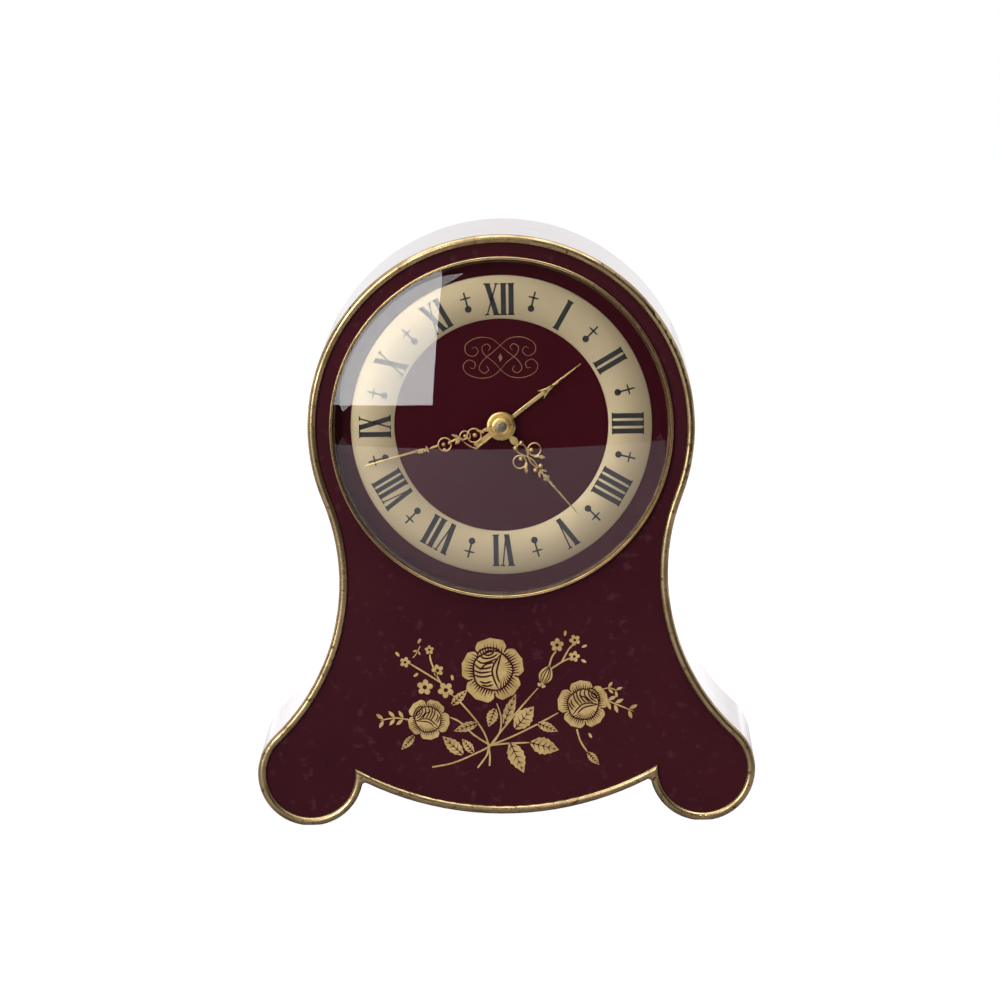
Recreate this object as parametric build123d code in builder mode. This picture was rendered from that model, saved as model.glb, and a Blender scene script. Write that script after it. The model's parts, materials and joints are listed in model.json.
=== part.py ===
from build123d import *
import os
from math import atan2, cos, degrees, hypot, radians, sin, sqrt

# A wound alarm clock for a table: a lacquered case with a round head, a drawn-in waist and two feet,
# a domed glass over an applied chapter ring, and a wound movement with an alarm behind it.
# Depths count backwards from the front panel's face. Plan places count from the dial's centre.

# Case outline, as tangent arcs: head, waist, foot and the hanging apron between the feet
height = 150.0
head_border = 6.3
waist_radius = 54.9
foot_radius = 13.4
foot_x = 49.8
foot_flat = 0.25
apron_radius = 80.1
apron_rise = 2.15
notch_round = 0.8

# Case shell
case_depth = 44.0
wall = 1.2
panel_thickness = 1.5
rim_width = 2.2
rim_height = 1.2
rim_round = 1.05
cover_depth = 42.0
cover_thickness = 1.0
cover_gap = 0.1
boss_radius = 2.2
boss_length = 6.0
boss_angles = (50, 130)
boss_foot_turn = -60
screw_radius = 0.8
screw_head_radius = 1.6
screw_head = 0.8
screw_slot = 0.55

# Glass and its bezel
glass_radius = 42.6
glass_edge = 1.0
glass_rise = 4.5
bezel_width = 0.9
bezel_wall = 0.5
bezel_height = 1.5
bezel_chamfer = 0.3
seat_width = 0.7
bezel_back = 3.0

# Dial, chapter ring and hands
dial_front = 5.9
dial_thickness = 0.8
dial_lap = 1.1
dial_hole = 3.0
dial_foot_radius = 0.6
dial_foot_ring = 28.0
chapter_margin = 4.5
chapter_width = 11.1
chapter_thickness = 0.4
minute_angle = 254.7
hour_angle = 139.9
alarm_angle = 52.7
minute_length = 36.0
hour_length = 29.4
alarm_length = 25.5
alarm_tail = 8.4
hand_thickness = 0.5
minute_front = 1.8
hour_front = 3.0
alarm_front = 4.2
minute_boss = 2.4
minute_rings = ((7.1, 1.7), (10.2, 1.2), (14.7, 1.5), (19.0, 1.0))
hour_boss = 3.65
hour_rings = ((8.4, 1.5), (9.9, 1.7), (13.0, 1.7), (16.6, 1.0))
alarm_boss = 3.4
alarm_rings = ((13.0, 0.7),)
needle_width = 0.5
ring_bore = 0.5
tip_width = 0.2
cap_radius = 1.36
cap_height = 1.0

# Movement cage
plate_thickness = 2.0
front_plate_front = 12.0
cage_depth = 14.0
plate_radius = 30.0
arm_width = 5.0
post_inset = 3.0
post_radius = 1.4
post_angle = 45.0
pillar_ring = 26.5
pillar_radius = 2.0
tap_radius = 0.6
tap_depth = 4.0
small_head_radius = 1.3
small_head = 0.8
pivot_gap = 0.05

# Motion work and its nested pipes
motion_module = 0.25
cannon_teeth = 20
minute_teeth = 60
minute_pinion_teeth = 16
hour_teeth = 64
set_teeth = 24
alarm_teeth = 72
minute_arbor_angle = -70.0
set_arbor_angle = -115.0
centre_arbor_radius = 0.9
pipe_wall = 0.55
arbor_radius = 0.6
alarm_wheel_front = 7.3
hour_wheel_front = 8.5
minute_wheel_front = 10.5
wheel_thickness = 0.7
pinion_overlap = 0.3
gear_root = 1.15
gear_tip = 0.85
tooth_root = 0.31
tooth_middle = 0.21
tooth_tip = 0.07

# Going train
barrel_module = 0.35
barrel_teeth = 72
centre_pinion_teeth = 12
centre_module = 0.2
centre_teeth = 80
third_pinion_teeth = 10
third_module = 0.18
third_teeth = 75
fourth_pinion_teeth = 10
fourth_module = 0.15
fourth_teeth = 80
escape_pinion_teeth = 8
escape_teeth = 15
escape_radius = 4.5
escape_tooth = 1.0
barrel_angle = 180.0
third_angle = 102.8
fourth_angle = 60.0
escape_angle = 10.0
train_arbor_radius = 0.4
fourth_wheel_front = 17.0
third_wheel_front = 22.2
centre_wheel_front = 24.6
escape_wheel_front = 24.2

# Lever and balance
pallet_distance = 5.9
pallet_angle = -30.0
stone_gap = 0.15
stone_radius = 0.3
stone_spread = 30.0
balance_distance = 8.0
balance_angle = -50.0
balance_radius = 6.5
balance_rim = 0.8
balance_front = 25.5
balance_thickness = 0.8
balance_spoke = 0.8
balance_hub = 1.2
collet_height = 0.5
impulse_radius = 1.4
impulse_pin = 0.25
fork_gap = 0.1
fork_wall = 0.35
fork_length = 1.4
fork_root = 0.8
lever_boss = 0.9
lever_width = 0.7
roller_gap = 0.1
roller_thickness = 0.3
hairspring_front = 26.7
hairspring_start = 1.0
hairspring_pitch = 0.4
hairspring_turns = 5
hairspring_width = 0.12
hairspring_height = 0.4
stud_radius = 0.5
stud_gap = 0.3

# Barrels, winding and their clicks
barrel_front = 15.0
barrel_height = 5.8
barrel_rack = 1.2
pinion_reach = 0.4
barrel_wall = 0.8
barrel_drum_radius = 11.9
alarm_drum_radius = 10.4
spring_start = 3.4
spring_pitch = 1.2
spring_width = 0.7
winding_radius = 1.2
hook_gap = 0.3
ratchet_front = 30.3
ratchet_thickness = 1.0
ratchet_teeth = 24
ratchet_radius = 4.5
ratchet_tooth = 0.7
click_distance = 7.0
click_turn = 50.0
click_boss = 1.3
click_gap = 0.1
click_direction = 100.0
click_nose = 0.6
click_lift = 0.2
click_lead = 1.5
click_back = 12.0
click_heel = 1.1

# Alarm train, hammer and gong
alarm_barrel_place = (15.5, -5.0)
alarm_barrel_teeth = 64
alarm_pinion_teeth = 10
alarm_escape_angle = -115.0
alarm_escape_front = 23.0
verge_distance = 6.0
verge_angle = -150.0
verge_radius = 1.3
hammer_front = 32.4
hammer_arm = 10.7
hammer_angle = 178.0
hammer_head_radius = 1.2
hammer_head_height = 3.4
gong_ring = 23.0
gong_rod = 0.7
gong_depth = 34.0
gong_start = -160.0
gong_sweep = 115.0
gong_block = 4.0

# What the hand reaches at the back
back_gap = 0.5
key_hub_radius = 4.2
key_hub_height = 1.7
wing_thickness = 1.2
wing_reach = 7.6
wing_width = 11.0
wing_shoulder = 1.8
wing_corner = 2.6
finger_slot = (5.5, 2.4)
ear_width = 0.8
ear_inside = 2.4
ear_reach = 0.8
wing_pin = 0.5
wing_gap = 0.25
knob_radius = 3.0
knob_height = 3.0
knob_flutes = 12
flute_radius = 0.6
cover_hole_gap = 0.6
regulator_reach = 9.0
regulator_ring = 3.0
regulator_boss = 1.6
regulator_angle = 60.0
regulator_sweep = 15.0
regulator_pin = 0.6
regulator_proud = 1.2
stop_place = (-14.0, 27.0)
stop_travel = 4.0
stop_button = 1.5
stop_plate_width = 5.0
stop_plate_thickness = 0.6
stop_proud = 2.0
sound_slots = 7
sound_slot_length = 26.0
sound_slot_width = 1.8
sound_slot_pitch = 4.0
sound_slot_z = 38.0

# Derived places
head_radius = glass_radius + head_border
head_z = height - head_radius
foot_z = foot_radius - foot_flat
apron_z = apron_rise + apron_radius
panel_hole = glass_radius + bezel_wall
dial_radius = panel_hole + dial_lap
chapter_outer = glass_radius - chapter_margin
chapter_inner = chapter_outer - chapter_width
post_ring = head_radius - post_inset
cover_back = cover_depth + cover_thickness
hub_front = cover_back + back_gap
hub_back = hub_front + key_hub_height
wing_axis = hub_back + wing_gap + wing_thickness / 2
back_reach = wing_axis + ear_reach
front_reach = glass_edge + glass_rise
front_y = (front_reach - back_reach) / 2
front_plate_back = front_plate_front + plate_thickness
back_plate_front = front_plate_back + cage_depth
back_plate_back = back_plate_front + plate_thickness
barrel_back = barrel_front + barrel_height
barrel_pinion = (barrel_back - barrel_rack - pinion_reach, barrel_back + pinion_reach)
dial_back = dial_front + dial_thickness


def front(depth):
    """The plane at a depth behind the front panel's face, seen from the front, from the floor up."""
    return Plane((0, front_y + depth, 0), x_dir=(1, 0, 0), z_dir=(0, -1, 0))


def dial(depth, place=(0, 0), turn=0.0):
    """The same, from a place in plan, turned anticlockwise as seen from the front."""
    along = (cos(radians(turn)), 0, sin(radians(turn)))
    return Plane((place[0], front_y + depth, head_z + place[1]), x_dir=along, z_dir=(0, -1, 0))


def beside(place, distance, angle):
    """A place in plan at a distance and angle from another."""
    return (place[0] + distance * cos(radians(angle)), place[1] + distance * sin(radians(angle)))


def bearing(start, end):
    """The angle in plan from one place to another."""
    return degrees(atan2(end[1] - start[1], end[0] - start[0]))


def mesh_distance(module, teeth, mate):
    """The distance between the centres of two meshed gears."""
    return module * (teeth + mate) / 2


def meshed(turn, teeth, mate, angle):
    """The turn that puts a mate's teeth in the gaps of a gear, for a mate at an angle from it."""
    return angle + 180 - 360 / mate * ((turn - angle) * teeth / 360 - 0.5)


def outline(inset):
    """The front outline as a face, every arc moved inwards by the same inset."""
    reach_head = head_radius + waist_radius
    reach_foot = foot_radius + waist_radius
    span = hypot(foot_x, head_z - foot_z)
    along = (reach_head**2 - reach_foot**2 + span**2) / (2 * span)
    aside = sqrt(reach_head**2 - along**2)
    down, out = (foot_z - head_z) / span, foot_x / span
    waist = (along * out - aside * down, head_z + along * down + aside * out)
    to_waist = degrees(atan2(waist[1] - head_z, waist[0]))
    to_foot = degrees(atan2(foot_z - waist[1], foot_x - waist[0])) % 360
    foot, apron = foot_radius - inset, apron_radius - inset
    drop = hypot(foot_x, foot_z - apron_z)
    along_apron = (apron**2 - foot**2 + drop**2) / (2 * drop)
    aside_apron = sqrt(apron**2 - along_apron**2)
    ux, uz = foot_x / drop, (foot_z - apron_z) / drop
    notch = (along_apron * ux + aside_apron * uz, apron_z + along_apron * uz - aside_apron * ux)
    notch_on_foot = degrees(atan2(notch[1] - foot_z, notch[0] - foot_x)) % 360
    notch_on_apron = degrees(atan2(notch[1] - apron_z, notch[0])) % 360
    with BuildSketch(Plane.XY, mode=Mode.PRIVATE) as face:
        with BuildLine():
            CenterArc((0, head_z), head_radius - inset, 90, to_waist - 90)
            CenterArc(waist, waist_radius + inset, 180 + to_waist, to_foot - 180 - to_waist)
            CenterArc((foot_x, foot_z), foot, to_foot - 180, notch_on_foot - 180 - to_foot)
            CenterArc((0, apron_z), apron, notch_on_apron, 270 - notch_on_apron)
            mirror(about=Plane.YZ)
        make_face()
        if inset == 0:
            corners = face.vertices().filter_by(lambda v: abs(abs(v.X) - notch[0]) < notch_round / 4)
            fillet(corners, notch_round)
    return face.sketch


def disc(radius, start, end, place=(0, 0), mode=Mode.ADD):
    """A round bar between two depths."""
    with Locations(dial(end, place)):
        Cylinder(radius, end - start, align=(Align.CENTER, Align.CENTER, Align.MIN), mode=mode)


def turned(points, place=(0, 0)):
    """A turned piece about the depth axis, from its half section in radius and depth."""
    with BuildSketch(Plane((place[0], front_y, head_z + place[1])), mode=Mode.PRIVATE) as half:
        with BuildLine():
            Polyline(*points, close=True)
        make_face()
    revolve(half.sketch, axis=Axis((place[0], front_y, head_z + place[1]), (0, 1, 0)))


def gear(teeth, module, start, end, place=(0, 0), turn=0.0):
    """A toothed disc between two depths, with a tooth pointing along its turn."""
    pitch = radians(360 / teeth)
    middle = teeth * module / 2
    root, tip = middle - gear_root * module, middle + gear_tip * module
    rising = ((-tooth_root, root), (-tooth_middle, middle), (-tooth_tip, tip))
    flank = (*rising, *((-share, r) for share, r in reversed(rising)))
    points = [
        (r * cos(pitch * (tooth + share)), r * sin(pitch * (tooth + share)))
        for tooth in range(teeth)
        for share, r in flank
    ]
    with BuildSketch(dial(end, place, turn), mode=Mode.PRIVATE) as face:
        with BuildLine():
            Polyline(*points, close=True)
        make_face()
    extrude(face.sketch, amount=end - start)


def pointed_wheel(teeth, radius, tooth, start, end, place, turn):
    """A wheel of pointed teeth, each with one radial face: an escape wheel or a ratchet."""
    pitch = 360 / teeth
    points = [
        beside((0, 0), r, pitch * k)
        for k in range(teeth)
        for r in (radius, radius - tooth)
    ]
    with BuildSketch(dial(end, place, turn), mode=Mode.PRIVATE) as face:
        with BuildLine():
            Polyline(*points, close=True)
        make_face()
    extrude(face.sketch, amount=end - start)


def spiral(first, pitch, width, turns, start, end, place):
    """A flat spiral spring of half circles, whose radius grows by half a pitch each half turn."""
    with BuildSketch(dial(end, place), mode=Mode.PRIVATE) as face:
        with BuildLine() as line:
            for half in range(2 * turns):
                centre = (0, 0) if half % 2 == 0 else (-pitch / 2, 0)
                CenterArc(centre, first + half * pitch / 2, 180 * (half % 2), 180)
        trace(line.line, line_width=width)
    extrude(face.sketch, amount=end - start)


# Plan places of the arbors
centre = (0.0, 0.0)
minute_place = beside(centre, mesh_distance(motion_module, cannon_teeth, minute_teeth), minute_arbor_angle)
set_place = beside(centre, mesh_distance(motion_module, alarm_teeth, set_teeth), set_arbor_angle)
barrel_place = beside(centre, mesh_distance(barrel_module, barrel_teeth, centre_pinion_teeth), barrel_angle)
third_place = beside(centre, mesh_distance(centre_module, centre_teeth, third_pinion_teeth), third_angle)
fourth_place = beside(
    third_place, mesh_distance(third_module, third_teeth, fourth_pinion_teeth), fourth_angle
)
escape_place = beside(
    fourth_place, mesh_distance(fourth_module, fourth_teeth, escape_pinion_teeth), escape_angle
)
pallet_place = beside(escape_place, pallet_distance, pallet_angle)
balance_place = beside(pallet_place, balance_distance, balance_angle)
alarm_reach = mesh_distance(barrel_module, alarm_barrel_teeth, alarm_pinion_teeth)
alarm_escape_place = beside(alarm_barrel_place, alarm_reach, alarm_escape_angle)
verge_place = beside(alarm_escape_place, verge_distance, verge_angle)
cannon_radius = centre_arbor_radius + pivot_gap + pipe_wall
hour_pipe_radius = cannon_radius + pivot_gap + pipe_wall
alarm_pipe_radius = hour_pipe_radius + pivot_gap + pipe_wall

# Turns that leave every pair in mesh
barrel_turn = meshed(0, centre_pinion_teeth, barrel_teeth, barrel_angle)
third_turn = meshed(0, centre_teeth, third_pinion_teeth, third_angle)
fourth_turn = meshed(third_turn, third_teeth, fourth_pinion_teeth, fourth_angle)
escape_turn = meshed(fourth_turn, fourth_teeth, escape_pinion_teeth, escape_angle)
minute_turn = meshed(0, cannon_teeth, minute_teeth, minute_arbor_angle)
hour_turn = meshed(minute_turn, minute_pinion_teeth, hour_teeth, minute_arbor_angle + 180)
set_turn = meshed(0, alarm_teeth, set_teeth, set_arbor_angle)
alarm_escape_turn = meshed(0, alarm_barrel_teeth, alarm_pinion_teeth, alarm_escape_angle)

outer_face = outline(0)
inner_face = outline(wall)
bead_face = outline(rim_width)
cover_face = outline(wall + cover_gap)
boss_places = [beside(centre, head_radius - wall - boss_radius, angle) for angle in boss_angles]
foot_boss = beside((foot_x, foot_z - head_z), foot_radius - wall - boss_radius, boss_foot_turn)
boss_places += [foot_boss, (-foot_boss[0], foot_boss[1])]
post_places = [beside(centre, post_ring, post_angle + 90 * k) for k in range(4)]
pillar_places = [beside(centre, pillar_ring, post_angle + 90 * k) for k in range(4)]
winding_places = (barrel_place, alarm_barrel_place)
click_places = [beside(place, click_distance, click_direction + click_turn) for place in winding_places]

# The case: a band of sheet, its front panel and the half-round rim over their joint
with BuildPart() as case_band:
    with BuildSketch(front(case_depth)):
        add(outer_face)
        add(inner_face, mode=Mode.SUBTRACT)
    extrude(amount=case_depth)
    split(bisect_by=Plane.XY, keep=Keep.TOP)

with BuildPart() as front_rim:
    with BuildSketch(front(0)):
        add(outer_face)
        add(bead_face, mode=Mode.SUBTRACT)
    extrude(amount=rim_height)
    fillet(front_rim.faces().sort_by(Axis.Y)[0].edges(), rim_round)
    split(bisect_by=Plane.XY, keep=Keep.TOP)

with BuildPart() as front_panel:
    with BuildSketch(front(panel_thickness)):
        add(inner_face)
        with Locations((0, head_z)):
            Circle(panel_hole, mode=Mode.SUBTRACT)
    extrude(amount=panel_thickness)

# The bezel, the domed glass in its seat and the ring that spaces the dial behind them
with BuildPart() as dial_bezel:
    turned((
        (glass_radius, -bezel_height),
        (glass_radius + bezel_width - bezel_chamfer, -bezel_height),
        (glass_radius + bezel_width, bezel_chamfer - bezel_height),
        (glass_radius + bezel_width, 0),
        (panel_hole, 0),
        (panel_hole, bezel_back),
        (glass_radius - seat_width, bezel_back),
        (glass_radius - seat_width, 0),
        (glass_radius, 0),
    ))

with BuildPart() as crystal:
    with BuildSketch(Plane((0, front_y, head_z)), mode=Mode.PRIVATE) as glass_section:
        with BuildLine():
            Line((0, -glass_edge - glass_rise), (0, -glass_rise))
            dome = 0.5 * (glass_radius**2 / glass_rise + glass_rise)
            RadiusArc((0, -glass_rise), (glass_radius - glass_edge, 0), -dome)
            Line((glass_radius - glass_edge, 0), (glass_radius, 0))
            Line((glass_radius, 0), (glass_radius, -glass_edge))
            RadiusArc((glass_radius, -glass_edge), (0, -glass_edge - glass_rise), dome)
        make_face()
    revolve(glass_section.sketch, axis=Axis((0, front_y, head_z), (0, 1, 0)))

with BuildPart() as dial_spacer:
    disc(panel_hole, bezel_back, dial_front)
    disc(glass_radius - seat_width, bezel_back, dial_front, mode=Mode.SUBTRACT)

# The dial on its three feet, with the chapter ring applied to it
dial_feet = [beside(centre, dial_foot_ring, 90 + 120 * k) for k in range(3)]
with BuildPart() as dial_plate:
    disc(dial_radius, dial_front, dial_back)
    disc(dial_hole, dial_front, dial_back, mode=Mode.SUBTRACT)
    for foot in dial_feet:
        disc(dial_foot_radius, dial_back, front_plate_back, foot)

with BuildPart() as chapter_ring:
    disc(chapter_outer, dial_front - chapter_thickness, dial_front)
    disc(chapter_inner, dial_front - chapter_thickness, dial_front, mode=Mode.SUBTRACT)


def hand(length, tail, angle, start, boss, bore, rings):
    """A hand: its boss, a tapering needle and pairs of rings, each (distance, radius)."""
    with BuildSketch(dial(start + hand_thickness, centre, 90 - angle), mode=Mode.PRIVATE) as face:
        with BuildLine():
            Polyline((-tail, needle_width), (length, tip_width / 2), (length, -tip_width / 2),
                     (-tail, -needle_width), close=True)
        make_face()
        for distance, radius in rings:
            with Locations((distance, radius), (distance, -radius)):
                Circle(radius)
        for distance, radius in rings:
            with Locations((distance, radius), (distance, -radius)):
                Circle(ring_bore * radius, mode=Mode.SUBTRACT)
        Circle(boss)
        Circle(bore, mode=Mode.SUBTRACT)
    extrude(face.sketch, amount=hand_thickness)


with BuildPart() as minute_hand:
    hand(minute_length, 0, minute_angle, minute_front, minute_boss, cannon_radius,
         minute_rings)

with BuildPart() as hour_hand:
    hand(hour_length, 0, hour_angle, hour_front, hour_boss, hour_pipe_radius,
         hour_rings)

with BuildPart() as alarm_hand:
    hand(alarm_length, alarm_tail, alarm_angle, alarm_front, alarm_boss, alarm_pipe_radius,
         alarm_rings)

with BuildPart() as hand_cap:
    turned((
        (0, minute_front - cap_height),
        (cap_radius / 2, minute_front - cap_height),
        (cap_radius, minute_front - cap_height / 2),
        (cap_radius, minute_front),
        (0, minute_front),
    ))

# Motion work: three pipes one inside the other, and the arbors that set them from behind
with BuildPart() as cannon_pinion:
    disc(cannon_radius, minute_front, minute_wheel_front + wheel_thickness + pinion_overlap)
    gear(cannon_teeth, motion_module, minute_wheel_front - pinion_overlap,
         minute_wheel_front + wheel_thickness + pinion_overlap)
    disc(centre_arbor_radius + pivot_gap, minute_front, front_plate_front, mode=Mode.SUBTRACT)

with BuildPart() as hour_wheel:
    disc(hour_pipe_radius, hour_front, hour_wheel_front + wheel_thickness)
    gear(hour_teeth, motion_module, hour_wheel_front, hour_wheel_front + wheel_thickness, turn=hour_turn)
    disc(cannon_radius + pivot_gap, hour_front, hour_wheel_front + wheel_thickness, mode=Mode.SUBTRACT)

with BuildPart() as alarm_wheel:
    disc(alarm_pipe_radius, alarm_front, alarm_wheel_front + wheel_thickness)
    gear(alarm_teeth, motion_module, alarm_wheel_front, alarm_wheel_front + wheel_thickness)
    disc(hour_pipe_radius + pivot_gap, alarm_front, alarm_wheel_front + wheel_thickness,
         mode=Mode.SUBTRACT)

with BuildPart() as minute_wheel:
    gear(minute_teeth, motion_module, minute_wheel_front, minute_wheel_front + wheel_thickness,
         minute_place, minute_turn)
    gear(minute_pinion_teeth, motion_module, hour_wheel_front - pinion_overlap, minute_wheel_front,
         minute_place, minute_turn)
    disc(arbor_radius, hour_wheel_front - pinion_overlap, hub_front + knob_height / 2, minute_place)

with BuildPart() as alarm_set_arbor:
    gear(set_teeth, motion_module, alarm_wheel_front - pinion_overlap / 2,
         alarm_wheel_front + wheel_thickness + pinion_overlap, set_place, set_turn)
    disc(arbor_radius, alarm_wheel_front, hub_front + knob_height / 2, set_place)


def knob(place):
    """A fluted knob pushed on the end of a setting arbor."""
    with BuildSketch(dial(hub_front + knob_height, place), mode=Mode.PRIVATE) as face:
        Circle(knob_radius)
        with PolarLocations(knob_radius, knob_flutes):
            Circle(flute_radius, mode=Mode.SUBTRACT)
    extrude(face.sketch, amount=knob_height)
    disc(arbor_radius, hub_front, hub_front + knob_height / 2, place, mode=Mode.SUBTRACT)


with BuildPart() as hand_set_knob:
    knob(minute_place)

with BuildPart() as alarm_set_knob:
    knob(set_place)

# Going train, from the fourth wheel that carries the seconds down to the barrel
with BuildPart() as centre_wheel:
    disc(centre_arbor_radius, minute_front, back_plate_back)
    gear(centre_pinion_teeth, barrel_module, *barrel_pinion)
    gear(centre_teeth, centre_module, centre_wheel_front, centre_wheel_front + wheel_thickness)

with BuildPart() as third_wheel:
    disc(train_arbor_radius, front_plate_front, back_plate_back, third_place)
    gear(third_teeth, third_module, third_wheel_front, third_wheel_front + wheel_thickness,
         third_place, third_turn)
    gear(third_pinion_teeth, centre_module, centre_wheel_front - pinion_overlap,
         centre_wheel_front + wheel_thickness + pinion_overlap, third_place, third_turn)

with BuildPart() as fourth_wheel:
    disc(train_arbor_radius, front_plate_front, back_plate_back, fourth_place)
    gear(fourth_teeth, fourth_module, fourth_wheel_front, fourth_wheel_front + wheel_thickness,
         fourth_place, fourth_turn)
    gear(fourth_pinion_teeth, third_module, third_wheel_front - pinion_overlap,
         third_wheel_front + wheel_thickness + pinion_overlap, fourth_place, fourth_turn)

with BuildPart() as escape_wheel:
    disc(train_arbor_radius, front_plate_front, back_plate_back, escape_place)
    gear(escape_pinion_teeth, fourth_module, fourth_wheel_front - pinion_overlap,
         fourth_wheel_front + wheel_thickness + pinion_overlap, escape_place, escape_turn)
    pointed_wheel(escape_teeth, escape_radius, escape_tooth, escape_wheel_front,
                  escape_wheel_front + wheel_thickness, escape_place, escape_turn)


def barrel(teeth, drum_radius, place, turn):
    """A spring barrel: an open drum with its teeth round the back edge."""
    disc(drum_radius, barrel_front, barrel_back, place)
    gear(teeth, barrel_module, barrel_back - barrel_rack, barrel_back, place, turn)
    disc(drum_radius - barrel_wall, barrel_front + barrel_wall, barrel_back, place, mode=Mode.SUBTRACT)
    disc(winding_radius + pivot_gap, barrel_front, barrel_back, place, mode=Mode.SUBTRACT)


def barrel_lid(drum_radius, place):
    """The lid that snaps into the back of a barrel."""
    disc(drum_radius - barrel_wall, barrel_back - barrel_wall, barrel_back, place)
    disc(winding_radius + pivot_gap, barrel_back - barrel_wall, barrel_back, place, mode=Mode.SUBTRACT)


def mainspring(drum_radius, place):
    """The spring wound against a barrel's wall."""
    room = drum_radius - barrel_wall
    turns = int((room - spring_start) / spring_pitch)
    first = room - spring_width / 2 - turns * spring_pitch
    spiral(first, spring_pitch, spring_width, turns, barrel_front + barrel_wall,
           barrel_back - barrel_wall, place)


with BuildPart() as time_barrel:
    barrel(barrel_teeth, barrel_drum_radius, barrel_place, barrel_turn)

with BuildPart() as time_barrel_lid:
    barrel_lid(barrel_drum_radius, barrel_place)

with BuildPart() as time_mainspring:
    mainspring(barrel_drum_radius, barrel_place)

with BuildPart() as alarm_barrel:
    barrel(alarm_barrel_teeth, alarm_drum_radius, alarm_barrel_place, 0)

with BuildPart() as alarm_barrel_lid:
    barrel_lid(alarm_drum_radius, alarm_barrel_place)

with BuildPart() as alarm_mainspring:
    mainspring(alarm_drum_radius, alarm_barrel_place)

# The lever, which swings between the escape wheel and the balance
lever_back = escape_wheel_front + wheel_thickness
roller_back = lever_back + roller_gap + roller_thickness
stone_places = [
    beside(escape_place, escape_radius + stone_gap + stone_radius, pallet_angle + side * stone_spread)
    for side in (-1, 1)
]
fork_reach = balance_distance - impulse_radius
with BuildPart() as pallet_lever:
    disc(train_arbor_radius, front_plate_front, back_plate_back, pallet_place)
    disc(lever_boss, escape_wheel_front, lever_back, pallet_place)
    for stone in stone_places:
        reach = hypot(stone[0] - pallet_place[0], stone[1] - pallet_place[1])
        with BuildSketch(dial(lever_back, pallet_place, bearing(pallet_place, stone))):
            with Locations((reach / 2, 0)):
                SlotCenterToCenter(reach, 2 * stone_radius)
        extrude(amount=wheel_thickness)
    with BuildSketch(dial(lever_back, pallet_place, balance_angle)):
        with Locations(((fork_reach - fork_length / 2) / 2, 0)):
            Rectangle(fork_reach - fork_length / 2, lever_width)
        with Locations((fork_reach, 0)):
            Rectangle(fork_length, 2 * (impulse_pin + fork_gap + fork_wall))
            Rectangle(fork_length, 2 * (impulse_pin + fork_gap), mode=Mode.SUBTRACT)
        with Locations((fork_reach - (fork_length + fork_root) / 2, 0)):
            Rectangle(fork_root, 2 * (impulse_pin + fork_gap + fork_wall))
    extrude(amount=wheel_thickness)

with BuildPart() as balance_wheel:
    disc(train_arbor_radius, front_plate_front, back_plate_back, balance_place)
    disc(impulse_radius + 2 * impulse_pin, lever_back + roller_gap, roller_back, balance_place)
    impulse_place = beside(balance_place, impulse_radius, balance_angle + 180)
    disc(impulse_pin, escape_wheel_front - roller_gap, roller_back, impulse_place)
    with BuildSketch(dial(balance_front + balance_thickness, balance_place)):
        Circle(balance_radius)
        Circle(balance_radius - balance_rim, mode=Mode.SUBTRACT)
        Rectangle(2 * balance_radius - balance_rim, balance_spoke)
        Circle(balance_hub)
    extrude(amount=balance_thickness)
    disc(hairspring_start - hairspring_width / 2, balance_front, hairspring_front + collet_height,
         balance_place)

with BuildPart() as hairspring:
    spiral(hairspring_start, hairspring_pitch, hairspring_width, hairspring_turns,
           hairspring_front, hairspring_front + hairspring_height, balance_place)

hairspring_reach = hairspring_start + hairspring_pitch * (hairspring_turns + 0.5)
with BuildPart() as hairspring_stud:
    stud_place = beside(balance_place, hairspring_reach + stud_radius + stud_gap, 0)
    disc(stud_radius, hairspring_front, back_plate_front, stud_place)


# Winding: each arbor carries its ratchet and a key with a folding wing
def winding_arbor(place):
    """The arbor that winds a spring, with the hook that holds the spring's inner end."""
    disc(winding_radius, front_plate_front, hub_front + key_hub_height / 2, place)
    disc(spring_start - spring_width, barrel_front + barrel_wall + hook_gap,
         barrel_back - barrel_wall - hook_gap, place)


def ratchet(place):
    """A ratchet wheel pressed on a winding arbor."""
    pointed_wheel(ratchet_teeth, ratchet_radius, ratchet_tooth, ratchet_front,
                  ratchet_front + ratchet_thickness, place, click_direction)
    disc(winding_radius, ratchet_front, ratchet_front + ratchet_thickness, place, mode=Mode.SUBTRACT)


def click(place, pivot):
    """The pawl that stands in one ratchet tooth and swings out of it about its screw."""
    root = ratchet_radius - ratchet_tooth
    back = ratchet_front + ratchet_thickness
    nose = beside(centre, root + click_lift, click_lead)
    belly = beside(centre, ratchet_radius + click_nose / 2, click_back)
    heel = beside(centre, click_distance - click_heel, click_turn)
    tail = beside(centre, click_distance, click_turn)
    brow = beside(centre, ratchet_radius + click_nose, click_lead)
    with BuildSketch(dial(back, place, click_direction), mode=Mode.PRIVATE) as face:
        with BuildLine():
            Polyline(nose, belly, heel, tail, brow, close=True)
        make_face()
    extrude(face.sketch, amount=ratchet_thickness)
    disc(click_boss, ratchet_front, back, pivot)
    disc(arbor_radius + pivot_gap, ratchet_front, back, pivot, mode=Mode.SUBTRACT)


def across(radius, half_length, place, mode=Mode.ADD):
    """A round bar from side to side through a key, on the line that its wing folds about."""
    start = Plane((place[0] - half_length, front_y + wing_axis, head_z + place[1]), z_dir=(1, 0, 0))
    with BuildSketch(start, mode=Mode.PRIVATE) as end:
        Circle(radius)
    extrude(end.sketch, amount=2 * half_length, mode=mode)


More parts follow.
